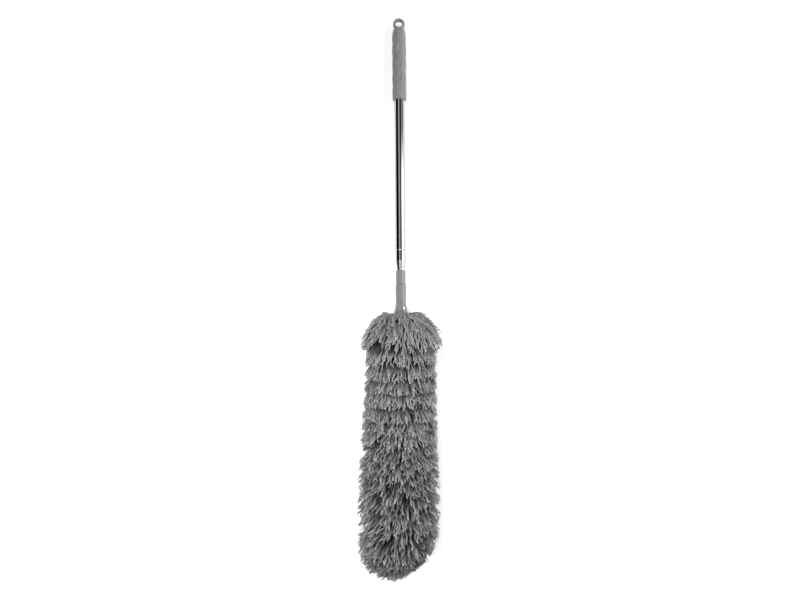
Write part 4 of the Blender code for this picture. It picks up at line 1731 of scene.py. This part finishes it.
@dataclass
class Studio:
    """A pale floor, soft light from above, and a camera straight over the duster.

    Brightness round the duster's length is given by degrees from straight up towards the right.
    """

    axis: PoleAxis
    camera_depth: float = 0.4322
    camera_height: float = 0.779
    camera_left: float = 0.0012
    camera_roll: float = -0.0070
    lens: float = 22.5
    sensor: float = 36.0
    nearest: float = 0.01
    floor_size: float = 12.0
    floor_tone: float = 0.80
    floor_lift: float = 0.455
    floor_mirrored: float = 0.35
    backdrop: Point = (0.68, 1.2)
    lamps: tuple[Lamp, ...] = (
        Lamp("key", 10.8, 0.5, (-0.38, 0.75, 1.55), (0.0, -0.05, 0.0)),
        Lamp("left_fill", 2.2, 0.7, (-1.3, -0.45, 0.6), (0.0, -0.25, 0.05), math.radians(50)),
        Lamp("right_fill", 9.6, 0.8, (1.15, 0.0, 0.85), (0.0, 0.0, 0.05)),
        Lamp("far_key", 7.5, 0.5, (-0.3, -1.35, 1.5), (0.0, -1.65, 0.0), math.radians(80)),
        Lamp("glint", 2.6, 0.14, (1.0, 0.42, 0.53), (0.0, -0.02, 0.035), mirrored=True),
    )
    box_end: Point = (0.27, 0.36)
    box_end_share: float = 0.14
    mirrored_edge: Points = ((-180, 0.0), (38, 0.0), (40, 3.0), (44, 3.0), (46, 0.0))
    mirrored_end: Point = (-0.40, -0.30)
    mirrored_end_glow: Points = ((-180, 0.0), (-40, 0.0), (-36, 3.0), (20, 3.0), (27, 0.0))
    mirrored_end_flag: float = 0.95
    sky: Points = (
        (-180, 0.75), (-112, 0.75), (-106, 0.0), (-8, 0.0), (0, 0.08),
        (24, 0.14), (41, 0.4), (43.5, 1.5), (86, 1.5), (94, 0.9),
    )
    left_strip: Points = ((-180, 0.0), (-34, 0.0), (-26, 0.45), (-8, 0.5), (0, 0.0))

    def build(self) -> None:
        """Set up the whole studio."""
        scene = bpy.context.scene
        scene.view_settings.view_transform = "Standard"
        self.make_camera(scene)
        self.make_floor()
        for lamp in self.lamps:
            self.make_lamp(scene, lamp)
        self.make_world(scene)

    def make_camera(self, scene: bpy.types.Scene) -> None:
        """Add the camera, with the top of its picture towards the eye.

        Args:
            scene: The scene.
        """
        camera = bpy.data.objects.new("camera", bpy.data.cameras.new("camera"))
        camera.data.lens = self.lens
        camera.data.sensor_width = self.sensor
        camera.data.clip_start = self.nearest
        foot = self.axis.eye_end.y - self.camera_depth
        camera.location = (self.axis.eye_end.x - self.camera_left, foot, self.camera_height)
        camera.rotation_euler = (0.0, 0.0, self.camera_roll)
        scene.collection.objects.link(camera)
        scene.camera = camera

    def make_floor(self) -> None:
        """Add the floor, which looks white but keeps the duster's shadow, and is plain far off."""
        bpy.ops.object.select_all(action="DESELECT")
        bpy.ops.mesh.primitive_plane_add(size=self.floor_size)
        floor = bpy.context.object
        floor.name = "floor"
        material = bpy.data.materials.new("white_floor")
        kit = NodeKit.emptied(material)
        rays = kit.add("LightPath").outputs
        seen = rays["Is Camera Ray"]
        mirrored = kit.maths("MULTIPLY", rays["Is Glossy Ray"], self.floor_mirrored)
        for more in (rays["Is Transmission Ray"], mirrored):
            seen = kit.result("Math", seen, more, operation="ADD", use_clamp=True)
        lit = kit.add("BsdfDiffuse", Color=(self.floor_tone, self.floor_tone, self.floor_tone, 1.0))
        glow = kit.add("Emission", Strength=kit.maths("MULTIPLY", seen, self.floor_lift))
        near = kit.result("AddShader", lit.outputs[0], glow.outputs[0])
        away = kit.add("VectorMath", {"operation": "LENGTH"}, Vector=kit.place).outputs["Value"]
        far = kit.maths("MULTIPLY", kit.rescaled(away, self.backdrop), rays["Is Camera Ray"])
        white = kit.add("Emission", Color=WHITE, Strength=1.0).outputs[0]
        kit.add("OutputMaterial", Surface=kit.result("MixShader", far, near, white))
        floor.data.materials.append(material)

    def make_lamp(self, scene: bpy.types.Scene, lamp: Lamp) -> None:
        """Add a lamp.

        Args:
            scene: The scene.
            lamp: The lamp.
        """
        light = bpy.data.lights.new(lamp.name, "AREA")
        light.energy = lamp.power
        light.size = lamp.size
        light.spread = lamp.spread
        stand = bpy.data.objects.new(lamp.name, light)
        stand.location = lamp.place
        towards = Vector(lamp.place) - Vector(lamp.aim)
        stand.rotation_euler = towards.to_track_quat("Z", "Y").to_euler()
        stand.visible_glossy = lamp.mirrored
        stand.visible_diffuse = not lamp.mirrored
        scene.collection.objects.link(stand)

    def make_world(self, scene: bpy.types.Scene) -> None:
        """Make a sky that looks white, and that lights the duster as soft boxes and flags do.

        Args:
            scene: The scene.
        """
        scene.world = bpy.data.worlds.new("studio")
        kit = NodeKit.emptied(scene.world)
        white = kit.add("Background", Color=WHITE, Strength=1.0).outputs[0]
        room = kit.add("Background", Color=self.room_light(kit), Strength=1.0).outputs[0]
        seen = kit.add("LightPath").outputs["Is Camera Ray"]
        kit.add("OutputWorld", Surface=kit.result("MixShader", seen, room, white))

    def by_angle(self, kit: NodeKit, share: object, stops: Points) -> Socket:
        """Brightness that depends on the direction round the duster's length.

        Args:
            kit: The world's nodes.
            share: The direction as a share of a full turn.
            stops: Degrees, each with its brightness.

        Returns:
            The colour.
        """
        ramp = kit.add("ValToRGB", Fac=share)
        elements = ramp.color_ramp.elements
        for index, (degrees, value) in enumerate(stops):
            position = (degrees + 180) / 360
            stop = elements[index] if index < len(elements) else elements.new(position)
            stop.position = position
            stop.color = (value, value, value, 1)
        return ramp.outputs["Color"]

    def room_light(self, kit: NodeKit) -> Socket:
        """Light of the room, all the way round the duster's length.

        A tall soft box stands on the right, with a bright tube at its edge that only the polished
        parts mirror. A weak strip stands on the left. Towards the head's end, a flag takes away
        what those parts mirror of these, and a glow above takes their place. Towards the handle's
        end, all but the strip fade.

        Args:
            kit: The world's nodes.

        Returns:
            The colour.
        """
        direction = kit.add("TexCoord").outputs["Generated"]
        parts = kit.add("SeparateXYZ", Vector=direction).outputs
        turn = kit.rescaled(kit.maths("ARCTAN2", parts["X"], parts["Z"]), (-math.pi, math.pi))
        sky, edge, end_glow, strip = (
            self.by_angle(kit, turn, stops)
            for stops in (self.sky, self.mirrored_edge, self.mirrored_end_glow, self.left_strip)
        )
        mirrored = kit.add("LightPath").outputs["Is Glossy Ray"]
        end = kit.rescaled(parts["Y"], self.mirrored_end, (1.0, 0.0))
        at_end = kit.maths("MULTIPLY", end, mirrored)
        flag = kit.rescaled(at_end, (0.0, 1.0), (1.0, 1.0 - self.mirrored_end_flag))
        light = kit.times(kit.plus(sky, kit.times(edge, mirrored)), flag)
        light = kit.plus(light, kit.times(end_glow, at_end))
        height = kit.rescaled(parts["Y"], self.box_end, (1.0, self.box_end_share))
        return kit.plus(kit.times(light, height), kit.times(strip, flag))


def main() -> None:
    """Build and dress the duster, sub-assembly by sub-assembly, in its studio."""
    logging.basicConfig(level=logging.INFO, format="%(message)s")
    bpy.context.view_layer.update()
    axis = PoleAxis.from_frame()
    finishes = make_finishes()
    Studio(axis).build()
    Handle(axis, finishes, "handle").build()
    Tube(axis, finishes, "handle", number=1).build()
    for number in range(2, TUBES + 1):
        Tube(axis, finishes, f"section_{number}", number=number).build()
    TipCollar(axis, finishes, "section_6").build()
    HeadFitting(axis, finishes, "head").build()
    Pile(axis, finishes, "head").build()


if __name__ == "__main__":
    main()
